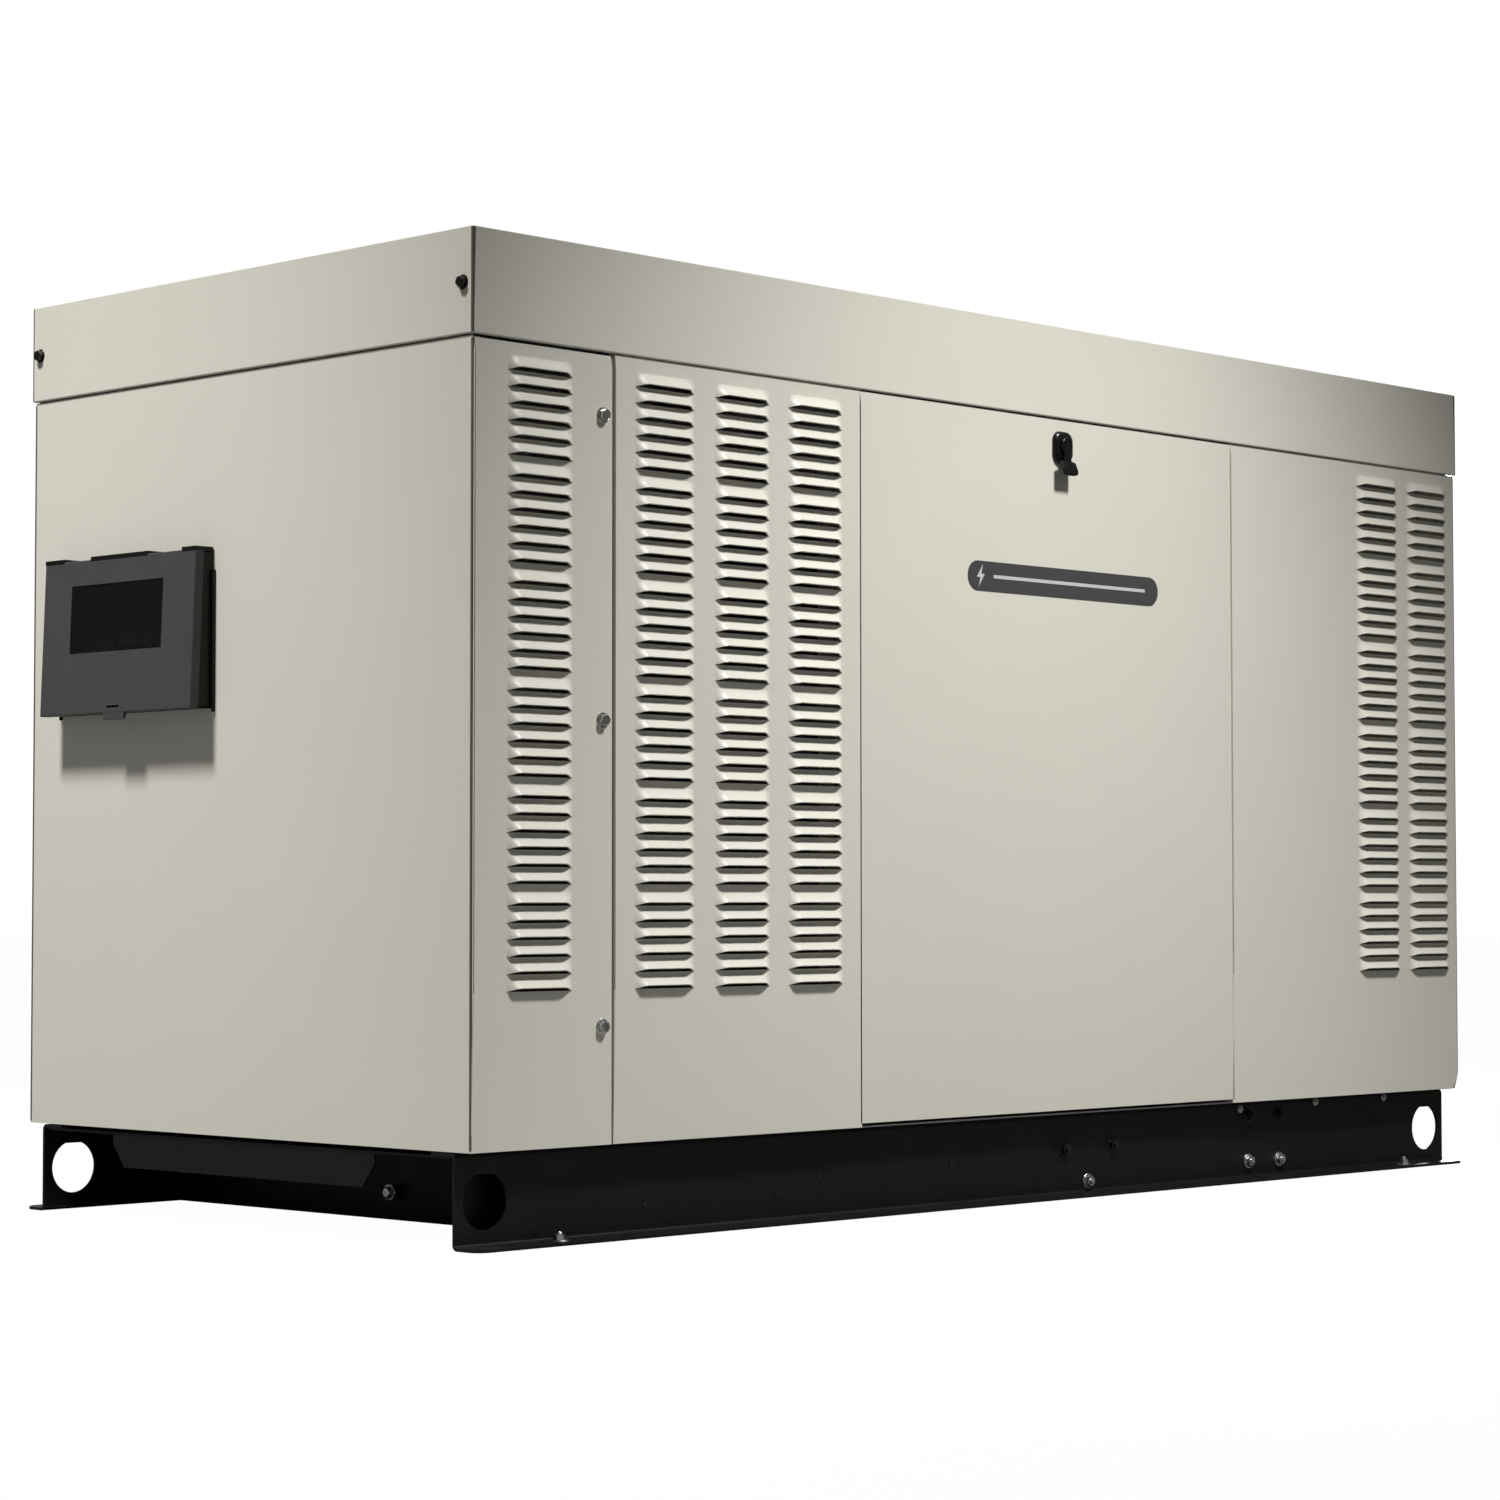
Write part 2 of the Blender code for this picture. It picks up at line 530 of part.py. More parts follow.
# rocker: two faces meeting in a shallow valley, on a pivot across its middle
rock = [(-0.0060, -0.0150), (-0.0015, 0.0), (-0.0060, 0.0150), (0.0020, 0.0162), (0.0090, 0.0090), (0.0090, -0.0090), (0.0020, -0.0162)]
prism(
    "mode_switch", [(along(PLATE_X0 + 0.001 + dx), SWITCH_Z + dz) for dx, dz in rock], "Y", SWITCH_Y - 0.0092, SWITCH_Y + 0.0092, GLOSS,
    origin=(along(PLATE_X0 + 0.001), SWITCH_Y, SWITCH_Z),
)

# cover: a tray that is deeper at the bottom, hung on the line along its top edge
pivot = (along(-PIVOT_D), (BOX_Y0 + BOX_Y1) / 2, PIVOT_Z)
rim = -0.0008
outer = [(rim, BOX_Z0), (rim, BOX_Z1), (-BOX_TOP_D, BOX_Z1), (-BOX_BOTTOM_D, BOX_Z0)]
cover = prism("controller_cover", [(along(x), z) for x, z in outer], "Y", BOX_Y0, BOX_Y1, PLASTIC, origin=pivot)
wall = 0.0026
slope = (BOX_BOTTOM_D - BOX_TOP_D) / (BOX_Z1 - BOX_Z0)
inner = [
    (0.02, BOX_Z0 + wall), (0.02, BOX_Z1 - wall), (-BOX_TOP_D + wall, BOX_Z1 - wall),
    (-BOX_BOTTOM_D + wall, BOX_Z0 + wall),
]
cut(
    cover,
    prism("cutter_cover_hollow", [(along(x), z) for x, z in inner], "Y", BOX_Y0 + wall, BOX_Y1 - wall),
    box("cutter_cover_window", (along(-0.06), WIN_Y0, WIN_Z0), (along(-0.015), WIN_Y1, WIN_Z1)),
    box("cutter_cover_slot", (along(-0.06), 0.1890, 0.6237), (along(-0.030), 0.2140, 0.6263)),
)
fuse(cover, box("add_cover_tab", (along(-0.0356), 0.1790, BOX_Z0 - 0.0085), (along(-0.0290), 0.2210, BOX_Z0 + 0.0015)))


def face_x(z, depth):
    """X of the cover's sloping face at height z, moved inwards by depth."""
    return along(-BOX_TOP_D - (BOX_Z1 - z) * slope + depth)


e = GAP + 0.0002
prism(
    "cover_window",
    [
        (face_x(WIN_Z0 + e, 0.0006), WIN_Z0 + e), (face_x(WIN_Z0 + e, 0.0024), WIN_Z0 + e),
        (face_x(WIN_Z1 - e, 0.0024), WIN_Z1 - e), (face_x(WIN_Z1 - e, 0.0006), WIN_Z1 - e),
    ],
    "Y", WIN_Y0 + e, WIN_Y1 - e, WINDOW, parent=cover, origin=(face_x(WIN_Z0, 0.0006), (WIN_Y0 + WIN_Y1) / 2, WIN_Z0),
)

# ---------------------------------------------------------------- engine, alternator and cooling
FLOOR = PAN_Z1 + GAP
BLOCK_X0, BLOCK_X1, BLOCK_Y, BLOCK_TOP = 0.870, 1.180, 0.150, 0.620
block = box("engine_block", (along(BLOCK_X0), -BLOCK_Y, 0.245), (along(BLOCK_X1), BLOCK_Y, BLOCK_TOP), IRON)
DIP_X, DIP_Y = 0.930, -0.118
fuse(
    block,
    box("add_sump", (along(BLOCK_X0 + 0.02), -0.115, 0.145), (along(BLOCK_X1 - 0.02), 0.115, 0.250)),
    box("add_engine_foot_front", (along(1.085), -0.215, FLOOR), (along(1.157), -0.140, 0.290)),
    box("add_engine_foot_rear", (along(1.085), 0.140, FLOOR), (along(1.157), 0.215, 0.290)),
)
cut(block, cylinder("cutter_dipstick_tube", (along(DIP_X), DIP_Y), "Z", 0.0055, 0.300, 0.640, 12))

box("valve_cover", (along(0.890), -0.080, BLOCK_TOP + GAP), (along(1.160), 0.080, 0.700), ALLOY)
cover_obj = bpy.data.objects["valve_cover"]
step = cover_obj.modifiers.new("edges", "BEVEL")
step.width, step.segments, step.limit_method = 0.010, 2, "ANGLE"

# air cleaner: a round canister lying along the engine, on a short intake elbow
air = turned(
    "air_cleaner",
    [(0.030, along(0.800)), (0.078, along(0.808)), (0.078, along(1.010)), (0.070, along(1.024)), (0.040, along(1.030))],
    "X", (0.020, 0.800), 24, PLASTIC,
)
fuse(air, cylinder("add_intake_neck", (along(0.960), 0.020), "Z", 0.030, 0.7003, 0.760, 20))

cylinder("oil_filter", (along(0.990), 0.300), "Y", 0.038, -BLOCK_Y - 0.098, -BLOCK_Y - GAP, 24, GLOSS)

dip = cylinder("dipstick", (along(DIP_X), DIP_Y), "Z", 0.0030, 0.330, 0.670, 8, RED, origin=(along(DIP_X), DIP_Y, BLOCK_TOP))
fuse(dip, box("add_dipstick_grip", (along(DIP_X - 0.016), DIP_Y - 0.005, 0.655), (along(DIP_X + 0.016), DIP_Y + 0.005, 0.690)))

alternator = turned(
    "alternator",
    [(0.105, along(0.455)), (0.135, along(0.470)), (0.150, along(0.520)), (0.150, along(0.560)), (0.163, along(0.565)),
     (0.163, along(0.800)), (0.172, along(0.820)), (0.172, along(BLOCK_X0) - GAP)],
    "X", (0.0, CRANK_Z), 28, IRON,
)
fuse(
    alternator,
    box("add_alternator_foot_front", (along(0.600), -0.200, FLOOR), (along(0.760), -0.090, 0.270)),
    box("add_alternator_foot_rear", (along(0.600), 0.090, FLOOR), (along(0.760), 0.200, 0.270)),
)

# belt drive: the crank pulley drives the fan and water pump
BELT_X0, BELT_X1 = 1.2040, 1.2160
groove = 0.004
turned(
    "crank_pulley",
    [
        (0.030, along(BLOCK_X1) + 0.0010), (0.030, along(1.198)), (CRANK_PULLEY_R + 0.006, along(1.199)), (CRANK_PULLEY_R + 0.006, along(1.203)),
        (CRANK_PULLEY_R, along(BELT_X0) - 0.0005), (CRANK_PULLEY_R, along(BELT_X1) + 0.0005), (CRANK_PULLEY_R + 0.006, along(1.217)),
        (CRANK_PULLEY_R + 0.006, along(1.221)), (0.024, along(1.222)), (0.024, along(1.230)),
    ],
    "X", (0.0, CRANK_Z), 24, BOLT_BLACK, origin=(along(1.21), 0.0, CRANK_Z),
)
fan = turned(
    "fan",
    [
        (0.020, along(BLOCK_X1) + 0.0010), (0.020, along(1.198)), (FAN_PULLEY_R + 0.006, along(1.199)), (FAN_PULLEY_R + 0.006, along(1.203)),
        (FAN_PULLEY_R, along(BELT_X0) - 0.0005), (FAN_PULLEY_R, along(BELT_X1) + 0.0005), (FAN_PULLEY_R + 0.006, along(1.217)),
        (FAN_PULLEY_R + 0.006, along(1.221)), (0.030, along(1.222)), (0.030, along(1.250)), (0.055, along(1.252)), (0.055, along(1.280)), (0.030, along(1.284)),
    ],
    "X", (0.0, FAN_Z), 24, BOLT_BLACK, origin=(along(1.21), 0.0, FAN_Z),
)
BLADES = 7
for k in range(BLADES):
    # each blade is a pitched slab from the hub to the tip
    a = 2 * math.pi * k / BLADES
    bm = bmesh.new()
    add_box(bm, (-0.0020, -0.038, 0.045), (0.0020, 0.038, FAN_R))
    for v in bm.verts:
        v.co.y *= 0.65 + 0.45 * (v.co.z - 0.045) / (FAN_R - 0.045)
    bmesh.ops.rotate(bm, verts=bm.verts[:], cent=(0, 0, 0), matrix=Matrix.Rotation(math.radians(20), 3, "Z"))
    bmesh.ops.rotate(bm, verts=bm.verts[:], cent=(0, 0, 0), matrix=Matrix.Rotation(a, 3, "X"))
    bmesh.ops.translate(bm, verts=bm.verts[:], vec=(along(1.266), 0.0, FAN_Z))
    fuse(fan, to_object(f"add_blade_{k}", bm))

# the belt wraps both pulleys: a band between two outlines, each made of the pulleys' arcs and the tangents that join them
def belt_outline(extra, n=12):
    r1, r2, c = CRANK_PULLEY_R + extra, FAN_PULLEY_R + extra, FAN_Z - CRANK_Z
    lean = math.asin((r1 - r2) / c)
    upper = [(r2 * math.cos(lean + (math.pi - 2 * lean) * k / n), FAN_Z + r2 * math.sin(lean + (math.pi - 2 * lean) * k / n)) for k in range(n + 1)]
    start = math.pi - lean
    sweep = math.pi + 2 * lean
    lower = [(r1 * math.cos(start + sweep * k / n), CRANK_Z + r1 * math.sin(start + sweep * k / n)) for k in range(n + 1)]
    return upper + lower


bm = bmesh.new()
rings = []
for extra, x in ((0.0014, BELT_X0), (0.0062, BELT_X0), (0.0062, BELT_X1), (0.0014, BELT_X1)):
    rings.append([bm.verts.new((along(x), y, z)) for y, z in belt_outline(extra)])
count = len(rings[0])
for a, b in zip(rings, rings[1:] + rings[:1]):
    for i in range(count):
        bm.faces.new((a[i], a[(i + 1) % count], b[(i + 1) % count], b[i]))
to_object("fan_belt", bm, RUBBER, smooth=40)

RAD_X0, RAD_X1, RAD_Y = 1.330, 1.3775, 0.285
CORE_Z0, CORE_Z1 = 0.235, 0.785
radiator = box("radiator", (along(RAD_X0 + 0.004), -RAD_Y, CORE_Z0 - 0.001), (along(RAD_X1 - 0.004), RAD_Y, CORE_Z1 + 0.001), ALLOY)
CAP_X, CAP_Y = (RAD_X0 + RAD_X1) / 2, -0.080
fuse(
    radiator,
    box("add_top_tank", (along(RAD_X0), -RAD_Y - 0.008, CORE_Z1), (along(RAD_X1), RAD_Y + 0.008, 0.850)),
    box("add_bottom_tank", (along(RAD_X0), -RAD_Y - 0.008, 0.172), (along(RAD_X1), RAD_Y + 0.008, CORE_Z0)),
    cylinder("add_filler_neck", (along(CAP_X), CAP_Y), "Z", 0.018, 0.845, 0.862, 20),
    box("add_radiator_foot_front", (along(RAD_X0 + 0.006), -0.250, FLOOR), (along(RAD_X1 - 0.006), -0.190, 0.175)),
    box("add_radiator_foot_rear", (along(RAD_X0 + 0.006), 0.190, FLOOR), (along(RAD_X1 - 0.006), 0.250, 0.175)),
)
cap = cylinder("radiator_cap", (along(CAP_X), CAP_Y), "Z", 0.0225, 0.8625, 0.8800, 24, BOLT, origin=(along(CAP_X), CAP_Y, 0.8625))
fuse(cap, box("add_cap_ears", (along(CAP_X - 0.0060), CAP_Y - 0.0300, 0.8640), (along(CAP_X + 0.0060), CAP_Y + 0.0300, 0.8740)))

shroud = box("fan_shroud", (along(1.2920), -0.280, 0.248), (along(RAD_X0 - GAP), 0.280, CORE_Z1 - 0.001), PLASTIC)
cut(shroud, cylinder("cutter_shroud_bore", (0.0, FAN_Z), "X", 0.243, along(1.28), along(1.34), 36))

tube(
    "upper_hose",
    [
        (along(1.110), -0.118, BLOCK_TOP + 0.001), (along(1.110), -0.118, 0.670), (along(1.125), -0.128, 0.730), (along(1.165), -0.160, 0.790),
        (along(1.230), -0.196, 0.815), (along(1.285), -0.205, 0.818), (along(RAD_X0) - 0.0030, -0.205, 0.818),
    ],
    0.0185, RUBBER, samples=3,
)
tube(
    "lower_hose",
    [
        (along(1.030), BLOCK_Y + 0.002, 0.330), (along(1.030), 0.185, 0.330), (along(1.046), 0.245, 0.318), (along(1.100), 0.275, 0.275),
        (along(1.180), 0.262, 0.222), (along(1.275), 0.236, 0.2035), (along(RAD_X0) - 0.0030, 0.236, 0.2035),
    ],
    0.0185, RUBBER, samples=3,
)

# exhaust: from the rear of the engine, through the bulkhead, into the muffler in the discharge plenum
MUF_X, MUF_Z, MUF_R = 1.690, 0.640, 0.125
tube(
    "exhaust_pipe",
    [
        (along(0.960), BLOCK_Y + 0.001, 0.520), (along(0.960), 0.200, 0.520), (along(0.968), 0.265, 0.528), (along(1.005), 0.315, 0.560),
        (along(1.070), EXH_Y, 0.610), (along(1.150), EXH_Y, 0.636), (along(1.240), EXH_Y, EXH_Z), (along(1.400), EXH_Y, EXH_Z),
        (along(1.560), EXH_Y, EXH_Z), (along(1.630), 0.329, EXH_Z), (along(1.675), 0.305, EXH_Z), (along(MUF_X), 0.268, EXH_Z), (along(MUF_X), 0.2320, EXH_Z),
    ],
    0.0225, EXHAUST, samples=3,
)
turned(
    "muffler",
    [(0.060, -0.290), (0.105, -0.284), (MUF_R, -0.262), (MUF_R, 0.202), (0.105, 0.224), (0.060, 0.230)],
    "Y", (along(MUF_X), MUF_Z), 24, EXHAUST,
)
muf = bpy.data.objects["muffler"]
fuse(
    muf,
    box("add_muffler_leg_front", (along(MUF_X - 0.050), -0.230, FLOOR), (along(MUF_X + 0.050), -0.222, MUF_Z - 0.090)),
    box("add_muffler_leg_rear", (along(MUF_X - 0.050), 0.160, FLOOR), (along(MUF_X + 0.050), 0.168, MUF_Z - 0.090)),
)

# battery on the floor beside the alternator, with its two posts
bat = box("battery", (along(0.690), -0.372, FLOOR), (along(0.862), -0.215, 0.318), PLASTIC)
fuse(
    bat,
    cylinder("add_post_negative", (along(0.722), -0.340), "Z", 0.009, 0.310, 0.334, 12),
    cylinder("add_post_positive", (along(0.830), -0.340), "Z", 0.009, 0.310, 0.334, 12),
)

# fuel regulator: a diaphragm case on the gas pipe that comes up through the floor
reg = turned(
    "fuel_regulator",
    [(0.030, 0.245), (0.072, 0.252), (0.078, 0.262), (0.078, 0.270), (0.072, 0.280), (0.034, 0.305)],
    "Y", (along(FUEL_X), 0.520), 20, ALLOY,
)
fuse(reg, cylinder("add_gas_pipe", (along(FUEL_X), FUEL_Y), "Z", 0.0170, 0.060, 0.500, 16))
fuse(reg, box("add_regulator_neck", (along(FUEL_X - 0.022), 0.262, 0.455), (along(FUEL_X + 0.022), 0.312, 0.520)))

# connection box with the main line breaker, standing behind the corner panel
CON_X0, CON_X1, CON_Y0, CON_Y1, CON_Z0, CON_Z1 = 0.110, 0.390, 0.085, 0.360, 0.260, 0.800
con = box("connection_box", (along(CON_X0), CON_Y0, CON_Z0), (along(CON_X1), CON_Y1, CON_Z1), FRAME)
BRK_X, BRK_Z = 0.250, 0.580
fuse(
    con,
    box("add_connection_leg_left", (along(CON_X0 + 0.100), CON_Y0 + 0.150, FLOOR), (along(CON_X0 + 0.104), CON_Y1 - 0.02, CON_Z0 + 0.01)),
    box("add_connection_leg_right", (along(CON_X1 - 0.024), CON_Y0 + 0.150, FLOOR), (along(CON_X1 - 0.020), CON_Y1 - 0.02, CON_Z0 + 0.01)),
    box("add_breaker_body", (along(BRK_X - 0.055), CON_Y0 - 0.022, BRK_Z - 0.085), (along(BRK_X + 0.055), CON_Y0 + 0.01, BRK_Z + 0.085)),
)
cut(con, box("cutter_breaker_slot", (along(BRK_X - 0.0145), CON_Y0 - 0.030, BRK_Z - 0.034), (along(BRK_X + 0.0145), CON_Y0 - 0.004, BRK_Z + 0.034)))
toggle = [(CON_Y0 - 0.008, -0.005), (CON_Y0 - 0.008, 0.005), (CON_Y0 - 0.020, 0.014), (CON_Y0 - 0.046, 0.0235), (CON_Y0 - 0.049, 0.016), (CON_Y0 - 0.022, -0.006)]
prism(
    "breaker_handle", [(y, BRK_Z + dz) for y, dz in toggle], "X", along(BRK_X - 0.012), along(BRK_X + 0.012), GLOSS,
    origin=(along(BRK_X), CON_Y0 - 0.012, BRK_Z),
)
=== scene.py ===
"""Looks for the home standby generator: folded and louvered sheet metal, bent base rails and a moulded controller cover,
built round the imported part. The engine bay keeps its CAD shapes and only gets finishes. Metres, +Z up, in the part's own frame."""
import json
import math

import bmesh
import bpy
from mathutils import Matrix, Vector

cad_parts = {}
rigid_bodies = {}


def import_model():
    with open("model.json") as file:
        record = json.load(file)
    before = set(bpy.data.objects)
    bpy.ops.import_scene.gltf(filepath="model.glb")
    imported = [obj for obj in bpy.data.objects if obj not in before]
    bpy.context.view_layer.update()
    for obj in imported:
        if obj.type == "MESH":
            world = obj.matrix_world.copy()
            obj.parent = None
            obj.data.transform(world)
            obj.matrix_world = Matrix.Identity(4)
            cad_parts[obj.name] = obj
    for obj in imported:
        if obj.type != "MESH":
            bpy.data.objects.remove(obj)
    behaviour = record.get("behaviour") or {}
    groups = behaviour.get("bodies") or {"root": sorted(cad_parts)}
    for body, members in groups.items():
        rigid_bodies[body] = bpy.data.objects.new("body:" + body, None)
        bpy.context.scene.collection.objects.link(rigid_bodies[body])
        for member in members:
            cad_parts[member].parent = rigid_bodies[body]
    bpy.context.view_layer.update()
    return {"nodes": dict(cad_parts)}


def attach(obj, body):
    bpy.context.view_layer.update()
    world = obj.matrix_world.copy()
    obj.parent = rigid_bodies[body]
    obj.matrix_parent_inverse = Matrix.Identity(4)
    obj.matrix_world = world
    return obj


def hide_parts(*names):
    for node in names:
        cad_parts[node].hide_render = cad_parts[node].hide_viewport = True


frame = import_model()
SCENE = bpy.context.scene
NODES = frame["nodes"]
for old in [o for o in bpy.data.objects if o.type in {"CAMERA", "LIGHT"} or o.name in {"Cube", "Camera", "Light"}]:
    bpy.data.objects.remove(old, do_unlink=True)

CAB_L, CAB_W = 1.950, 0.834
LEFT = -(CAB_L + 0.003 + 0.0065 - 0.0358) / 2
TOP_Z, SKIRT_Z = 1.1409, 1.0204
PANEL_Z0 = 0.1115


def along(x):
    return LEFT + x


def inset(side, d):
    return side * (CAB_W / 2 - d)


# ================================================================ camera
camera_data = bpy.data.cameras.new("photo_view")
camera_data.lens, camera_data.sensor_width = 88.69, 36.0
camera_data.shift_y = -0.0089
camera_data.clip_start, camera_data.clip_end = 0.05, 100.0
camera = bpy.data.objects.new("photo_view", camera_data)
camera.location = (-3.68625, -3.4880, 0.3900)
camera.rotation_euler = (math.radians(92.515), math.radians(0.03), math.radians(-45.885))
SCENE.collection.objects.link(camera)
SCENE.camera = camera

# ================================================================ floor and light
def stage_floor():
    bm = bmesh.new()
    bmesh.ops.create_grid(bm, x_segments=1, y_segments=1, size=30.0)
    mesh = bpy.data.meshes.new("floor")
    bm.to_mesh(mesh)
    bm.free()
    floor = bpy.data.objects.new("floor", mesh)
    floor.location.z = -0.0004
    SCENE.collection.objects.link(floor)
    made = bpy.data.materials.new("pale_floor")
    made.use_nodes = True
    nodes, links = made.node_tree.nodes, made.node_tree.links
    nodes.clear()
    out = nodes.new("ShaderNodeOutputMaterial")
    mix = nodes.new("ShaderNodeMixShader")
    path = nodes.new("ShaderNodeLightPath")
    diffuse = nodes.new("ShaderNodeBsdfDiffuse")
    diffuse.inputs["Color"].default_value = (0.20, 0.20, 0.20, 1)
    seen = nodes.new("ShaderNodeMixShader")
    seen.inputs[0].default_value = 0.93
    glow = nodes.new("ShaderNodeEmission")
    glow.inputs["Color"].default_value = (1, 1, 1, 1)
    glow.inputs["Strength"].default_value = 1.06
    links.new(path.outputs["Is Camera Ray"], mix.inputs[0])
    links.new(diffuse.outputs[0], mix.inputs[1])
    links.new(diffuse.outputs[0], seen.inputs[1])
    links.new(glow.outputs[0], seen.inputs[2])
    links.new(seen.outputs[0], mix.inputs[2])
    links.new(mix.outputs[0], out.inputs["Surface"])
    mesh.materials.append(made)


def area_light(name, where, towards, size, power, colour=(1, 1, 1), spread=180.0):
    data = bpy.data.lights.new(name, "AREA")
    data.shape, data.size, data.energy, data.color = "DISK", size, power, colour
    data.spread = math.radians(spread)
    lamp = bpy.data.objects.new(name, data)
    lamp.visible_camera = False
    lamp.location = where
    lamp.rotation_euler = (Vector(towards) - Vector(where)).to_track_quat("-Z", "Y").to_euler()
    SCENE.collection.objects.link(lamp)
    return lamp


def spot_light(name, where, towards, half_angle, radius, power, colour):
    data = bpy.data.lights.new(name, "SPOT")
    data.energy, data.color, data.shadow_soft_size = power, colour, radius
    data.spot_size, data.spot_blend = 2 * half_angle, 1.0
    lamp = bpy.data.objects.new(name, data)
    lamp.location = where
    lamp.rotation_euler = (Vector(towards) - Vector(where)).to_track_quat("-Z", "Y").to_euler()
    SCENE.collection.objects.link(lamp)
    return lamp


stage_floor()
world = bpy.data.worlds.new("studio")
SCENE.world = world
world.use_nodes = True
wn, wl = world.node_tree.nodes, world.node_tree.links
wn.clear()
w_out = wn.new("ShaderNodeOutputWorld")
w_mix = wn.new("ShaderNodeMixShader")
w_path = wn.new("ShaderNodeLightPath")
w_fill = wn.new("ShaderNodeBackground")
w_fill.inputs["Color"].default_value = (1.0, 0.985, 0.96, 1)
w_fill.inputs["Strength"].default_value = 0.12
w_seen = wn.new("ShaderNodeBackground")
w_seen.inputs["Color"].default_value = (1, 1, 1, 1)
w_seen.inputs["Strength"].default_value = 1.05
wl.new(w_path.outputs["Is Camera Ray"], w_mix.inputs[0])
wl.new(w_fill.outputs[0], w_mix.inputs[1])
wl.new(w_seen.outputs[0], w_mix.inputs[2])
wl.new(w_mix.outputs[0], w_out.inputs["Surface"])

# one soft spot high in front of the long side, one high beyond the controller end
WARM = (1.0, 0.99, 0.965)
spot_light("key_front", (along(1.10), -CAB_W / 2 - 1.50, 2.99), (along(0.825), -CAB_W / 2, -1.36), 0.584, 0.20, 575.0, WARM)
spot_light("key_left", (along(-1.50), 0.60 - CAB_W / 2, 3.62), (along(0.0), 1.90 - CAB_W / 2, -12.0), 0.7045, 0.26, 1010.0, WARM)
area_light("fill_rear", (along(1.20), 3.7, 0.78), (along(0.95), 0.40, 0.56), 0.7, 27.0, WARM, spread=120.0)
area_light("fill_right", (along(4.8), 1.6, 0.78), (along(1.95), 0.0, 0.56), 0.7, 33.0, WARM, spread=110.0)
SCENE.view_settings.view_transform = "Standard"
SCENE.view_settings.look = "None"
SCENE.view_settings.exposure = 0.0
SCENE.view_settings.gamma = 1.0


# ================================================================ materials
LOOKS = {}


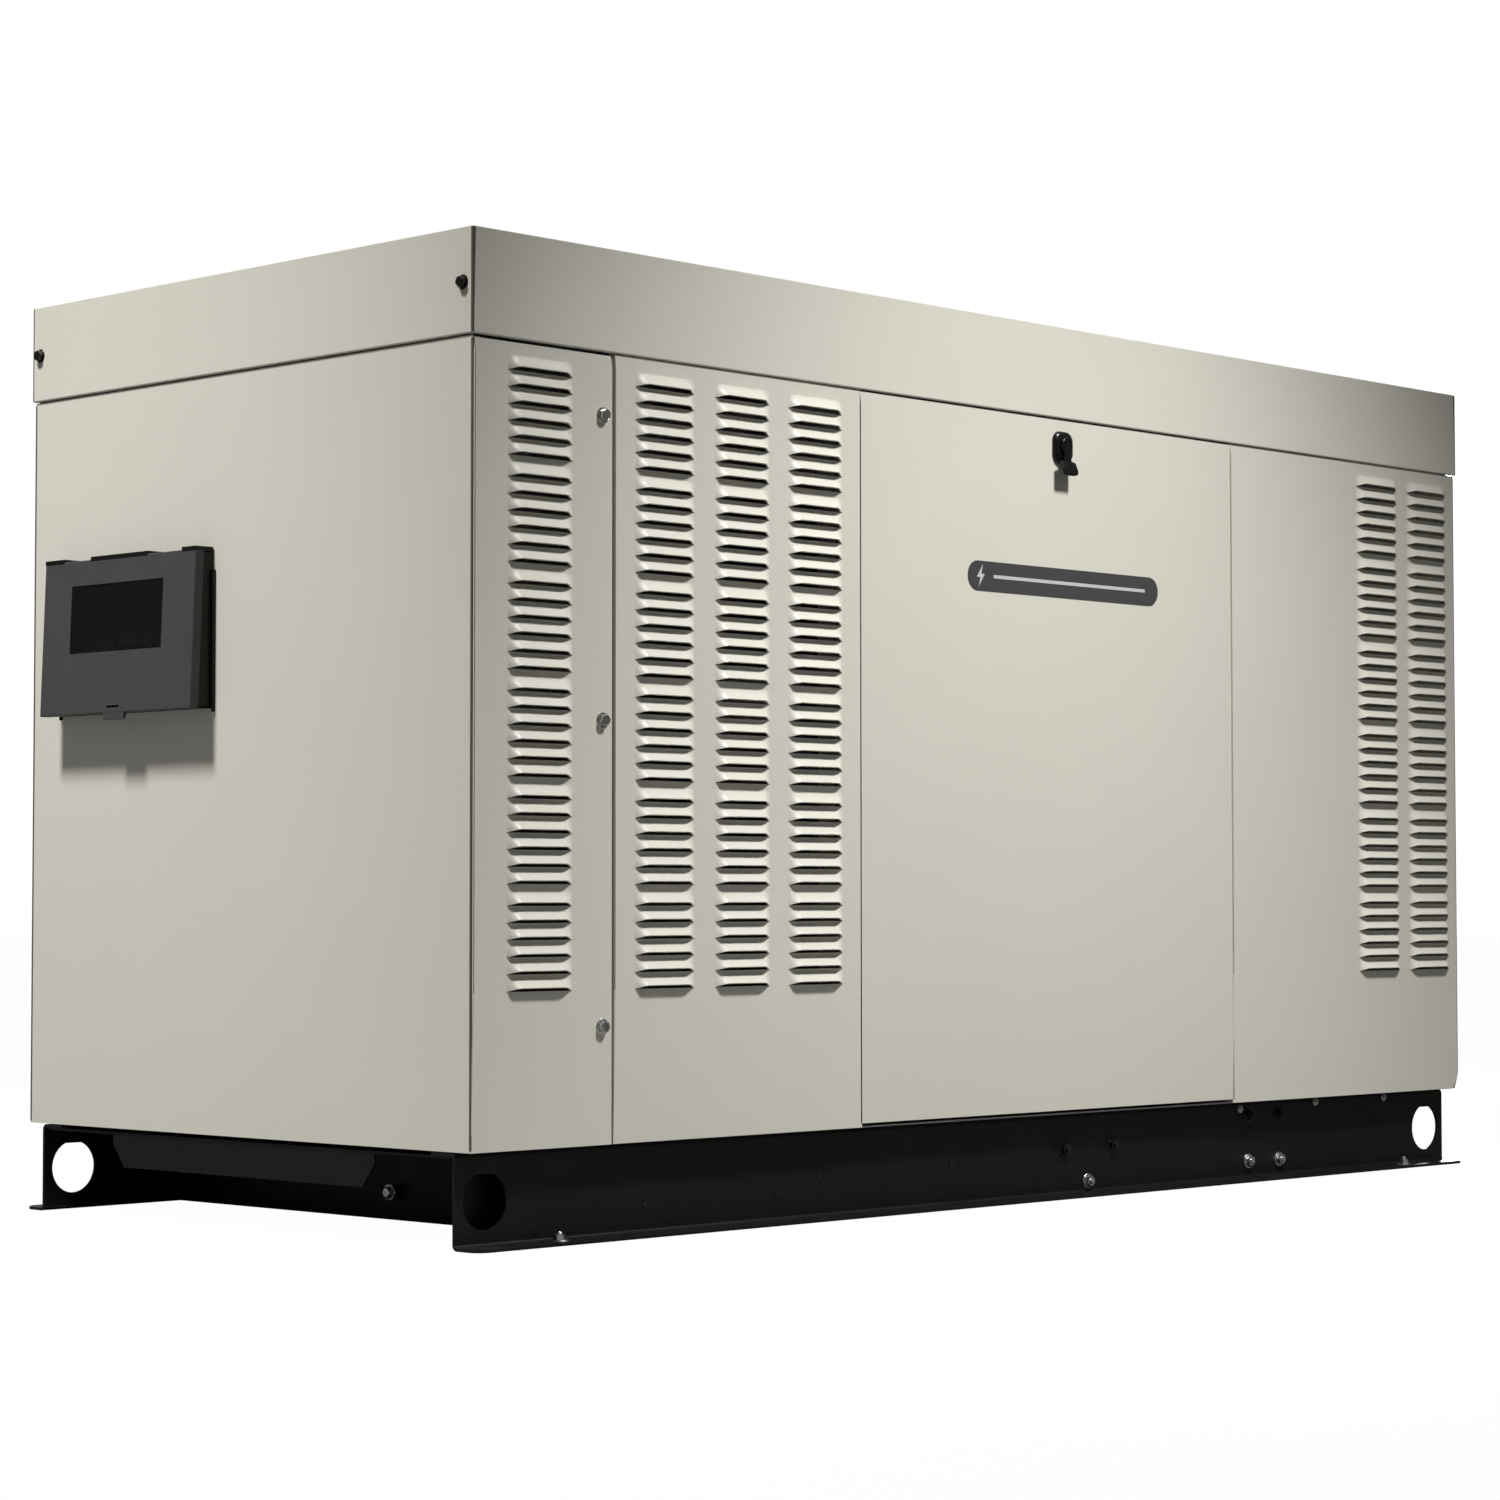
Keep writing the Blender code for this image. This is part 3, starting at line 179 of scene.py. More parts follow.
def look(name, colour, rough, metallic=0.0, vary=0.03, vary_scale=4.0, rough_vary=0.05, rough_scale=30.0, bump=0.00004,
         bump_scale=350.0, specular=0.5, tint=None, alpha=1.0, transmission=0.0, ior=1.45, stretch=(1, 1, 1), speckle=0.0,
         speckle_scale=900.0, coat=0.0, coat_rough=0.1, detail=3.0, anis=0.0):
    """A finish with broad colour drift, fine speckle, uneven gloss and a fine surface texture, all from object-space noise."""
    if name in LOOKS:
        return LOOKS[name]
    made = bpy.data.materials.new(name)
    made.use_nodes = True
    nodes, links = made.node_tree.nodes, made.node_tree.links
    shader = nodes["Principled BSDF"]
    shader.inputs["Metallic"].default_value = metallic
    shader.inputs["Specular IOR Level"].default_value = specular
    shader.inputs["IOR"].default_value = ior
    shader.inputs["Alpha"].default_value = alpha
    shader.inputs["Transmission Weight"].default_value = transmission
    shader.inputs["Coat Weight"].default_value = coat
    shader.inputs["Coat Roughness"].default_value = coat_rough
    if anis:
        shader.inputs["Anisotropic"].default_value = anis
    place = nodes.new("ShaderNodeTexCoord")
    scale = nodes.new("ShaderNodeMapping")
    scale.inputs["Scale"].default_value = stretch
    links.new(place.outputs["Object"], scale.inputs["Vector"])
    broad = nodes.new("ShaderNodeTexNoise")
    broad.inputs["Scale"].default_value = vary_scale
    broad.inputs["Detail"].default_value = detail
    broad.inputs["Roughness"].default_value = 0.55
    links.new(scale.outputs["Vector"], broad.inputs["Vector"])
    ramp = nodes.new("ShaderNodeValToRGB")
    dark = [max(0.0, c * (1 - vary)) for c in colour]
    light = [min(1.0, c * (1 + vary)) for c in (tint or colour)]
    ramp.color_ramp.elements[0].position, ramp.color_ramp.elements[0].color = 0.30, (*dark, 1)
    ramp.color_ramp.elements[1].position, ramp.color_ramp.elements[1].color = 0.70, (*light, 1)
    links.new(broad.outputs["Fac"], ramp.inputs["Fac"])
    colour_out = ramp.outputs["Color"]
    if speckle:
        grain = nodes.new("ShaderNodeTexNoise")
        grain.inputs["Scale"].default_value = speckle_scale
        grain.inputs["Detail"].default_value = 2.0
        links.new(scale.outputs["Vector"], grain.inputs["Vector"])
        limits = nodes.new("ShaderNodeMapRange")
        limits.inputs["From Min"].default_value, limits.inputs["From Max"].default_value = 0.35, 0.65
        limits.inputs["To Min"].default_value, limits.inputs["To Max"].default_value = 1 - speckle, 1 + speckle
        links.new(grain.outputs["Fac"], limits.inputs["Value"])
        times = nodes.new("ShaderNodeVectorMath")
        times.operation = "SCALE"
        links.new(colour_out, times.inputs[0])
        links.new(limits.outputs["Result"], times.inputs["Scale"])
        colour_out = times.outputs["Vector"]
    links.new(colour_out, shader.inputs["Base Color"])
    gloss = nodes.new("ShaderNodeTexNoise")
    gloss.inputs["Scale"].default_value = rough_scale
    gloss.inputs["Detail"].default_value = 3.0
    links.new(scale.outputs["Vector"], gloss.inputs["Vector"])
    span = nodes.new("ShaderNodeMapRange")
    span.inputs["From Min"].default_value, span.inputs["From Max"].default_value = 0.3, 0.7
    span.inputs["To Min"].default_value = max(0.02, rough - rough_vary)
    span.inputs["To Max"].default_value = min(1.0, rough + rough_vary)
    links.new(gloss.outputs["Fac"], span.inputs["Value"])
    links.new(span.outputs["Result"], shader.inputs["Roughness"])
    if bump:
        fine = nodes.new("ShaderNodeTexNoise")
        fine.inputs["Scale"].default_value = bump_scale
        fine.inputs["Detail"].default_value = 2.0
        links.new(scale.outputs["Vector"], fine.inputs["Vector"])
        relief = nodes.new("ShaderNodeBump")
        relief.inputs["Strength"].default_value = 1.0
        relief.inputs["Distance"].default_value = bump
        links.new(fine.outputs["Fac"], relief.inputs["Height"])
        links.new(relief.outputs["Normal"], shader.inputs["Normal"])
    LOOKS[name] = made
    return made


PAINT = look("cabinet_powder_coat", (0.610, 0.598, 0.535), 0.42, vary=0.010, vary_scale=2.2, rough_vary=0.05, rough_scale=9.0,
             bump=0.00003, bump_scale=420.0, speckle=0.012, speckle_scale=1300.0)
# painted shade: the olive tone of the unlit rounded corners, laid on strips in the corner joints
CORNER_SHADE = look("painted_corner_shade", (0.085, 0.080, 0.060), 0.70, vary=0.12, vary_scale=60.0, rough_vary=0.08, rough_scale=120.0, bump=0.00006,
               bump_scale=700.0)
BASE = look("base_satin_black", (0.0046, 0.0037, 0.0040), 0.47, vary=0.16, vary_scale=6.0, rough_vary=0.05, rough_scale=22.0, specular=0.30,
            bump=0.00004, bump_scale=260.0, speckle=0.10, speckle_scale=800.0)
GALV = look("galvanised_sheet", (0.40, 0.405, 0.41), 0.42, metallic=0.75, vary=0.10, vary_scale=24.0, rough_vary=0.12,
            rough_scale=26.0, bump=0.00003, bump_scale=120.0, detail=5.0)
PLASTIC = look("charcoal_moulding", (0.052, 0.0495, 0.0525), 0.54, specular=0.38, vary=0.05, vary_scale=9.0, rough_vary=0.05, rough_scale=60.0,
               bump=0.00009, bump_scale=1500.0, speckle=0.06, speckle_scale=1900.0)
GLOSS = look("black_gloss_moulding", (0.0045, 0.0038, 0.0042), 0.30, specular=0.40, vary=0.15, vary_scale=30.0, rough_vary=0.05,
             rough_scale=80.0, bump=0.00002, bump_scale=400.0)
ZINC = look("zinc_plate", (0.56, 0.56, 0.55), 0.27, metallic=1.0, vary=0.07, vary_scale=160.0, rough_vary=0.08,
            rough_scale=240.0, bump=0.00002, bump_scale=700.0)
BLACK_STEEL = look("black_oxide_steel", (0.040, 0.036, 0.033), 0.32, metallic=0.85, vary=0.20, vary_scale=140.0,
                   rough_vary=0.10, rough_scale=200.0, bump=0.00003, bump_scale=600.0)
IRON = look("engine_grey_paint", (0.085, 0.088, 0.094), 0.50, metallic=0.15, vary=0.14, vary_scale=11.0, rough_vary=0.12,
            rough_scale=30.0, bump=0.00030, bump_scale=240.0, speckle=0.10, speckle_scale=420.0)
ALLOY = look("cast_aluminium", (0.50, 0.505, 0.515), 0.44, metallic=0.95, vary=0.10, vary_scale=26.0, rough_vary=0.12,
             rough_scale=70.0, bump=0.00020, bump_scale=420.0, speckle=0.08, speckle_scale=600.0)
RUBBER = look("black_rubber", (0.016, 0.0158, 0.0155), 0.72, vary=0.20, vary_scale=26.0, rough_vary=0.10, rough_scale=60.0,
              bump=0.00012, bump_scale=620.0)
EXHAUST = look("aluminised_steel", (0.36, 0.335, 0.295), 0.46, metallic=0.85, vary=0.16, vary_scale=9.0, rough_vary=0.14,
               rough_scale=24.0, bump=0.00006, bump_scale=200.0, tint=(0.33, 0.27, 0.20), detail=5.0)
FACE = look("faceplate_film", (0.060, 0.061, 0.066), 0.42, vary=0.05, vary_scale=14.0, rough_vary=0.05, rough_scale=90.0,
            bump=0.00003, bump_scale=1500.0, speckle=0.05, speckle_scale=1500.0)
KEY = look("key_rubber", (0.30, 0.31, 0.325), 0.55, vary=0.05, vary_scale=40.0, rough_vary=0.06, rough_scale=140.0,
           bump=0.00005, bump_scale=1400.0, speckle=0.04)
RED = look("red_moulding", (0.42, 0.022, 0.014), 0.34, vary=0.08, vary_scale=40.0, rough_vary=0.06, rough_scale=140.0,
           bump=0.00003, bump_scale=900.0)
WINDOW = look("smoked_polycarbonate", (0.006, 0.0052, 0.0058), 0.08, vary=0.05, vary_scale=20.0, rough_vary=0.02,
              rough_scale=50.0, bump=0.0, alpha=0.60)

SLOT_LOOK = {
    "cabinet_paint": PAINT, "base_paint": BASE, "frame_steel": GALV, "charcoal_plastic": PLASTIC, "black_gloss": GLOSS,
    "smoked_window": WINDOW, "zinc_steel": ZINC, "black_steel": BLACK_STEEL, "engine_iron": IRON, "cast_alloy": ALLOY,
    "rubber": RUBBER, "exhaust_steel": EXHAUST, "faceplate": FACE, "key_grey": KEY, "breaker_red": RED,
}
for node in NODES.values():
    for i, slot in enumerate(node.data.materials):
        key = slot.name.split(".")[0] if slot else ""
        if key in SLOT_LOOK:
            node.data.materials[i] = SLOT_LOOK[key]


# ================================================================ piece helpers
def bake(obj, angle=38.0, weighted=True):
    """Make the modifiers real, then shade smooth across soft edges only."""
    for step in range(2 if weighted else 1):
        graph = bpy.context.evaluated_depsgraph_get()
        made = bpy.data.meshes.new_from_object(obj.evaluated_get(graph), depsgraph=graph)
        obj.modifiers.clear()
        old_mesh, obj.data = obj.data, made
        bpy.data.meshes.remove(old_mesh)
        made.name = obj.name
        if step == 0:
            made.polygons.foreach_set("use_smooth", [True] * len(made.polygons))
            made.set_sharp_from_angle(angle=math.radians(angle))
            if weighted:
                even = obj.modifiers.new("even_normals", "WEIGHTED_NORMAL")
                even.keep_sharp = True
                even.weight = 50
    return obj


def piece(name, bm, finish, body="cabinet", slot=None, replaces=(), bevel=None, segments=2, by_weight=False, thick=None,
          offset=-1.0, angle=38.0, weighted=True, level=0, limit=30.0, recalc=True, cuts=(), late_cuts=()):
    if recalc:
        bmesh.ops.recalc_face_normals(bm, faces=bm.faces[:])
    mesh = bpy.data.meshes.new(name)
    bm.to_mesh(mesh)
    bm.free()
    obj = bpy.data.objects.new(name, mesh)
    SCENE.collection.objects.link(obj)
    for m in finish if isinstance(finish, (list, tuple)) else [finish]:
        mesh.materials.append(m)
    for tool in cuts:
        bite = obj.modifiers.new("cut", "BOOLEAN")
        bite.operation, bite.solver, bite.object = "DIFFERENCE", "EXACT", tool
    if bevel:
        edge = obj.modifiers.new("edges", "BEVEL")
        edge.width, edge.segments = bevel, segments
        edge.limit_method = "WEIGHT" if by_weight else "ANGLE"
        edge.angle_limit = math.radians(limit)
        edge.use_clamp_overlap = not by_weight
        edge.miter_outer = "MITER_ARC" if not by_weight else "MITER_SHARP"
    if thick:
        wall = obj.modifiers.new("sheet", "SOLIDIFY")
        wall.thickness, wall.offset, wall.use_even_offset = thick, offset, False
    for cutter_ in late_cuts:
        bite = obj.modifiers.new("cut", "BOOLEAN")
        bite.operation, bite.solver, bite.object = "DIFFERENCE", "EXACT", cutter_
    if level:
        sub = obj.modifiers.new("round", "SUBSURF")
        sub.levels = sub.render_levels = level
    bake(obj, angle, weighted)
    for done in (*cuts, *late_cuts):
        bpy.data.objects.remove(done, do_unlink=True)
    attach(obj, body)
    if replaces:
        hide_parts(*replaces)
    return obj


def cutter(fill):
    """A throw-away solid for one cut; fill(bm) draws it."""
    bm = bmesh.new()
    fill(bm)
    bmesh.ops.recalc_face_normals(bm, faces=bm.faces[:])
    mesh = bpy.data.meshes.new("cutter")
    bm.to_mesh(mesh)
    bm.free()
    obj = bpy.data.objects.new("cutter", mesh)
    SCENE.collection.objects.link(obj)
    return obj


def arc(cx, cz, r, a0, a1, n=6):
    return [(cx + r * math.cos(math.radians(a0 + (a1 - a0) * k / n)), cz + r * math.sin(math.radians(a0 + (a1 - a0) * k / n))) for k in range(n + 1)]


def add_box(bm, a, b, mat=0):
    lo, hi = [min(p, q) for p, q in zip(a, b)], [max(p, q) for p, q in zip(a, b)]
    v = [bm.verts.new((x, y, z)) for x in (lo[0], hi[0]) for y in (lo[1], hi[1]) for z in (lo[2], hi[2])]
    for f in ((0, 1, 3, 2), (4, 6, 7, 5), (0, 4, 5, 1), (2, 3, 7, 6), (0, 2, 6, 4), (1, 5, 7, 3)):
        bm.faces.new([v[i] for i in f]).material_index = mat
    return v


def add_prism(bm, points, axis, lo, hi, mat=0):
    def at(p, h):
        return {"X": (h, p[0], p[1]), "Y": (p[0], h, p[1]), "Z": (p[0], p[1], h)}[axis]
    a = [bm.verts.new(at(p, lo)) for p in points]
    b = [bm.verts.new(at(p, hi)) for p in points]
    n = len(points)
    for i in range(n):
        bm.faces.new((a[i], a[(i + 1) % n], b[(i + 1) % n], b[i])).material_index = mat
    bm.faces.new(a).material_index = mat
    bm.faces.new(b).material_index = mat
    return a + b


def add_turned(bm, profile, axis, centre, n=32, mat=0, closed=True):
    """profile is (radius, distance along the axis) from one end to the other; ends at radius 0 close in a point fan."""
    rings = []
    for r, h in profile:
        ring = []
        for i in range(n):
            t = 2 * math.pi * i / n
            p = (centre[0] + r * math.cos(t), centre[1] + r * math.sin(t))
            ring.append(bm.verts.new({"X": (h, *p), "Y": (p[0], h, p[1]), "Z": (*p, h)}[axis]))
        rings.append(ring)
    for a, b in zip(rings, rings[1:]):
        for i in range(n):
            j = (i + 1) % n
            bm.faces.new((a[i], a[j], b[j], b[i])).material_index = mat
    if closed:
        bm.faces.new(rings[0]).material_index = mat
        bm.faces.new(rings[-1]).material_index = mat
    return [v for ring in rings for v in ring]


def hex_bolt(bm, at, normal, r=0.0078, washer=0.0105, height=0.0065, washer_t=0.0014, turn=0.0, mat=0, dome=False, flange=True):
    """A flanged, chamfered hex head whose flange sits at `at`."""
    n = 24
    z = Vector(normal).normalized()
    x = z.orthogonal().normalized()
    x = Matrix.Rotation(turn, 3, z) @ x
    y = z.cross(x)

    def ring(radius, h, hexed):
        out = []
        for i in range(n):
            t = 2 * math.pi * i / n
            rr = radius
            if hexed:
                a = (t + math.pi / 6) % (math.pi / 3) - math.pi / 6
                rr = radius * math.cos(math.pi / 6) / math.cos(a)
                rr = radius * (1 - hexed) + rr * hexed
            out.append(bm.verts.new(Vector(at) + x * rr * math.cos(t) + y * rr * math.sin(t) + z * h))
        return out
    rings = [ring(washer, -0.0006, 0), ring(washer, washer_t * 0.45, 0), ring(washer * 0.93, washer_t, 0)] if flange else [ring(r * 0.98, -0.0006, 1)]
    rings += [ring(r, washer_t + 0.0003, 1), ring(r, height - 0.0012, 1), ring(r * 0.93, height - 0.0003, 0.35), ring(r * 0.80, height, 0)]
    if dome:
        rings += [ring(r * 0.5, height + 0.0004, 0)]
    else:
        rings += [ring(r * 0.70, height - 0.0004, 0)]
    for a, b in zip(rings, rings[1:]):
        for i in range(n):
            j = (i + 1) % n
            bm.faces.new((a[i], a[j], b[j], b[i])).material_index = mat
    bm.faces.new(rings[0]).material_index = mat
    bm.faces.new(rings[-1]).material_index = mat


def tube(name, points, r, finish, body="cabinet", slot=None, replaces=(), sides=12, samples=5, rings=None):
    """A round hose, pipe or wire along a smooth curve. rings: (fraction, radius factor) pairs for beads and clamps; not
    used.
    """
    pts = [Vector(p) for p in points]
    ends = [2 * pts[0] - pts[1], *pts, 2 * pts[-1] - pts[-2]]
    path = []
    for a, b, c, d in zip(ends, ends[1:], ends[2:], ends[3:]):
        for i in range(samples):
            t = i / samples
            path.append(0.5 * ((2 * b) + (c - a) * t + (2 * a - 5 * b + 4 * c - d) * t * t + (3 * b - a - 3 * c + d) * t ** 3))
    path.append(pts[-1])
    bm = bmesh.new()
    up = None
    loops = []
    for i, p in enumerate(path):
        t = (path[min(i + 1, len(path) - 1)] - path[max(i - 1, 0)]).normalized()
        if up is None:
            up = t.orthogonal().normalized()
        up = (up - t * up.dot(t)).normalized()
        v = t.cross(up)
        loops.append([bm.verts.new(p + (up * math.cos(2 * math.pi * k / sides) + v * math.sin(2 * math.pi * k / sides)) * r) for k in range(sides)])
    for a, b in zip(loops, loops[1:]):
        for k in range(sides):
            bm.faces.new((a[k], a[(k + 1) % sides], b[(k + 1) % sides], b[k]))
    bm.faces.new(loops[0])
    bm.faces.new(loops[-1])
    return piece(name, bm, finish, body, slot, replaces, weighted=False, angle=50)


# ================================================================ folded and louvered sheets
LOUVER_Z0, LOUVER_PITCH, GROUP_PITCH = 0.2905, 0.0192, 0.1206
HOOD, SLIT, PROUD, TAPER = 0.0135, 0.0042, 0.0085, 0.0165
COL_CORNER = ((0.0518, 0.1530),)
COL_PANEL = ((0.2510, 0.3495), (0.3830, 0.4775), (0.5090, 0.6065))
COL_RIGHT = ((1.6990, 1.8025), (1.8265, 1.9290))
RETURN = 0.020
SHEET = 0.0016


def place_side(side):
    def at(u, d, z):
        return Vector((along(u), inset(side, d), z))
    return at


def place_end(face, inward):
    def at(u, d, z):
        return Vector((along(face + inward * d), u, z))
    return at


def sheet(name, place, u0, u1, z0, z1, columns=(), folds=(0.02, 0.02, 0.012, 0.012), radius=0.0020, segments=3, holes=(), clip=(), **more):
    """A sheet with folded edges (left, right, bottom, top depths) and banks of pressed louvers that open downwards."""
    us, zs = {u0, u1}, {z0, z1}
    steps = (0.0, 0.10, 0.24, 0.42, 0.68, 1.0)
    for a, b in columns:
        for t in steps:
            us |= {a + TAPER * t, b - TAPER * t}
        us.add((a + b) / 2)
    rows = (0.0, 0.10, 0.26, 0.48, 0.72, 0.90, 1.0)
    slits = {}
    if columns:
        for g in range(6):
            for k in range(6):
                lip = LOUVER_Z0 + g * GROUP_PITCH + k * LOUVER_PITCH
                base = lip - SLIT
                top = lip + HOOD
                for t in rows:
                    zs.add(round(base + (top - base) * t, 6))
                slits[round(base, 6)] = top
    for side, du, dz in clip:
        us.add(u1 - du if side > 0 else u0 + du)
    us, zs = sorted(set(round(u, 6) for u in us)), sorted(set(round(z, 6) for z in zs))
    bm = bmesh.new()
    weight = bm.edges.layers.float.new("bevel_weight_edge")

    def height(i, j):
        """The height of a grid point: the lower corners may be cut off at a slant."""
        lift = 0.0
        if j == 0:
            for side, du, dz in clip:
                reach = us[i] - (u1 - du) if side > 0 else (u0 + du) - us[i]
                lift = max(lift, dz * reach / du)
        return zs[j] + lift

    def column_of(u):
        for a, b in columns:
            if a - 1e-7 <= u <= b + 1e-7:
                return a, b
        return None

    def swell(u):
        c = column_of(u)
        if not c:
            return 0.0
        t = min(u - c[0], c[1] - u) / TAPER
        t = max(0.0, min(1.0, t))
        return t * t * (3 - 2 * t) * 0.75 + 0.25 * (1 - (1 - t) ** 2) if t > 0 else 0.0

    bases = sorted(slits)

    def louver_of(z):
        for base in bases:
            if base - 1e-7 <= z <= slits[base] + 1e-7:
                return base, slits[base]
        return None
    grid, upper = {}, {}
    for i, u in enumerate(us):
        e = swell(u)
        for j, z in enumerate(zs):
            hit = louver_of(z) if e > 0 else None
            if hit and z < hit[1] - 1e-6:
                base, top = hit
                s = 1 - (z - base) / (top - base)
                p = 0.55 * s + 0.45 * (1 - math.cos(math.pi * min(1.0, s * 1.04))) / 2
                moved = bm.verts.new(place(u, -PROUD * e * p, z + SLIT * e * s ** 3))
                if abs(z - base) < 1e-6:
                    upper[i, j] = moved
                    grid[i, j] = bm.verts.new(place(u, 0.0, z))
                else:
                    grid[i, j] = moved
            else:
                grid[i, j] = bm.verts.new(place(u, 0.0, height(i, j)))
    for i in range(len(us) - 1):
        mid = (us[i] + us[i + 1]) / 2
        inside = column_of(mid) is not None
        for j in range(len(zs) - 1):
            quad = [(i, j), (i + 1, j), (i + 1, j + 1), (i, j + 1)]
            vs = []
            for q in quad:
                if inside and q in upper and q[1] == j:
                    vs.append(upper[q])
                else:
                    vs.append(grid[q])
            bm.faces.new(vs)
    left, right, bottom, top = folds
    n, m = len(us) - 1, len(zs) - 1

    def strip(line, depth, du, dz):
        out = []
        for (i, j) in line:
            out.append(bm.verts.new(place(us[i] + du, depth, height(i, j) + dz)))
        for a, b, c, d in zip(line, line[1:], out, out[1:]):
            bm.faces.new((grid[a], c, d, grid[b]))
            bm.edges.get((grid[a], grid[b]))[weight] = 1.0
    if left:
        strip([(0, j) for j in range(m + 1)], left, 0, 0)
    if right:
        strip([(n, j) for j in range(m, -1, -1)], right, 0, 0)
    if bottom:
        strip([(i, 0) for i in range(n, -1, -1)], bottom, 0, 0)
    if top:
        strip([(i, m) for i in range(n + 1)], top, 0, 0)
    bm.normal_update()
    # outward normals, judged on the middle of the sheet
    outward = place(0, -1, 0) - place(0, 0, 0)
    flat = max(bm.faces, key=lambda f: f.calc_area())
    if flat.normal.dot(outward) < 0:
        bmesh.ops.reverse_faces(bm, faces=bm.faces[:])
    return piece(name, bm, PAINT, bevel=radius, segments=segments, by_weight=True, thick=SHEET, slot="cabinet_paint", recalc=False, **more)


CORNER_GAP = 0.0026
for word, s in (("front", -1), ("rear", 1)):
    at = place_side(s)
    sheet(f"{word}_corner_sheet", at, CORNER_GAP, 0.2126, PANEL_Z0, 1.0164, COL_CORNER, folds=(0.0035, 0.010, 0.012, 0.0),
          radius=0.0022, replaces=(f"{word}_corner_panel",))
    sheet(f"{word}_louver_sheet", at, 0.2194, 0.6388, PANEL_Z0, 1.0194, COL_PANEL, folds=(0.010, 0.020, 0.012, 0.0),
          radius=0.0018, replaces=(f"{word}_louver_panel",))
    sheet(f"{word}_right_sheet", at, 1.3990, 1.9474, PANEL_Z0, 1.0194, COL_RIGHT, folds=(0.020, 0.0035, 0.012, 0.0),
          radius=0.0018, clip=((1, 0.0120, 0.0180),), replaces=(f"{word}_right_panel",))
    sheet(f"{word}_door_sheet", at, 0.6412, 1.3970, 0.1172, 1.0155, (), folds=(0.020, 0.020, 0.018, 0.018),
          radius=0.0026, body=f"{word}_door", replaces=(f"{word}_door",))
    # upright post behind the gap between the corner sheet and the louvered sheet
    bm = bmesh.new()
    add_box(bm, (along(0.2105), inset(s, 0.0085), 0.1135), (along(0.2215), inset(s, 0.0200), 1.0190))
    piece(f"{word}_seam_post", bm, PAINT, bevel=0.0008, slot="cabinet_paint")

edge = CAB_W / 2 - CORNER_GAP
for word, face, inward in (("left", 0.0, 1), ("right", CAB_L, -1)):
    at = place_end(face, inward)
    if word == "right":
        sheet("right_end_sheet", at, -edge, edge, PANEL_Z0, 1.0164, folds=(RETURN, RETURN, 0.012, 0.012), radius=0.0022,
              clip=((1, 0.0050, 0.0180), (-1, 0.0050, 0.0180)),
              replaces=("right_end_panel",))
    else:
        opening = cutter(lambda bm: add_box(bm, (along(-0.01), 0.0625, 0.632), (along(0.01), 0.338, 0.797)))
        sheet("left_end_sheet", at, -edge, edge, PANEL_Z0, 1.0164, folds=(RETURN, RETURN, 0.012, 0.012), radius=0.0022,
              replaces=("left_end_panel",), late_cuts=(opening,))

# ================================================================ roof
def roof():
    bm = bmesh.new()
    weight = bm.edges.layers.float.new("bevel_weight_edge")
    x0, x1, y = along(-0.003), along(CAB_L + 0.003), CAB_W / 2 + 0.003
    hem = 0.016
    top = [bm.verts.new(p) for p in ((x0, -y, TOP_Z), (x1, -y, TOP_Z), (x1, y, TOP_Z), (x0, y, TOP_Z))]
    low = [bm.verts.new((v.co.x, v.co.y, SKIRT_Z)) for v in top]
    inn = [bm.verts.new((v.co.x + (hem if v.co.x < 0 else -hem), v.co.y + (hem if v.co.y < 0 else -hem), SKIRT_Z)) for v in top]
    bm.faces.new(top)
    for i in range(4):
        j = (i + 1) % 4
        bm.faces.new((top[i], low[i], low[j], top[j]))
        bm.faces.new((low[i], inn[i], inn[j], low[j]))
        bm.edges.get((top[i], top[j]))[weight] = 0.30
        bm.edges.get((top[i], low[i]))[weight] = 0.30
        bm.edges.get((low[i], low[j]))[weight] = 0.45
    bm.normal_update()
    if bm.faces[:][0].normal.z < 0:
        bmesh.ops.reverse_faces(bm, faces=bm.faces[:])
    piece("roof_pan", bm, PAINT, bevel=0.0045, segments=4, by_weight=True, thick=0.002, slot="cabinet_paint", replaces=("roof",), recalc=False)
    # dark strips of painted shade in the four upright corner joints, wider at the top; their olive tone stands in for
    # the unlit rounded corners
    bm = bmesh.new()
    for cx in (x0, x1):
        for cy in (-y, y):
            ix, iy = (1 if cx < 0 else -1), (1 if cy < 0 else -1)
            rows = []
            for z, w in ((SKIRT_Z + 0.0010, 0.0022), (SKIRT_Z + 0.030, 0.0024), (TOP_Z - 0.040, 0.0034), (TOP_Z - 0.0012, 0.0042)):
                rows.append([bm.verts.new(q) for q in (
                    (cx - ix * 0.00015, cy + iy * 0.0030, z), (cx - ix * 0.00015, cy + iy * 0.0008, z), (cx + ix * 0.0008, cy - iy * 0.00015, z),
                    (cx + ix * w, cy - iy * 0.00015, z), (cx + ix * w, cy + iy * 0.0016, z), (cx + ix * 0.0016, cy + iy * 0.0030, z))])
            for r0, r1 in zip(rows, rows[1:]):
                for k in range(6):
                    bm.faces.new((r0[k], r0[(k + 1) % 6], r1[(k + 1) % 6], r1[k]))
            bm.faces.new(rows[0])
            bm.faces.new(rows[-1])
    piece("roof_corner_joints", bm, CORNER_SHADE, slot="cabinet_paint", angle=50)


roof()


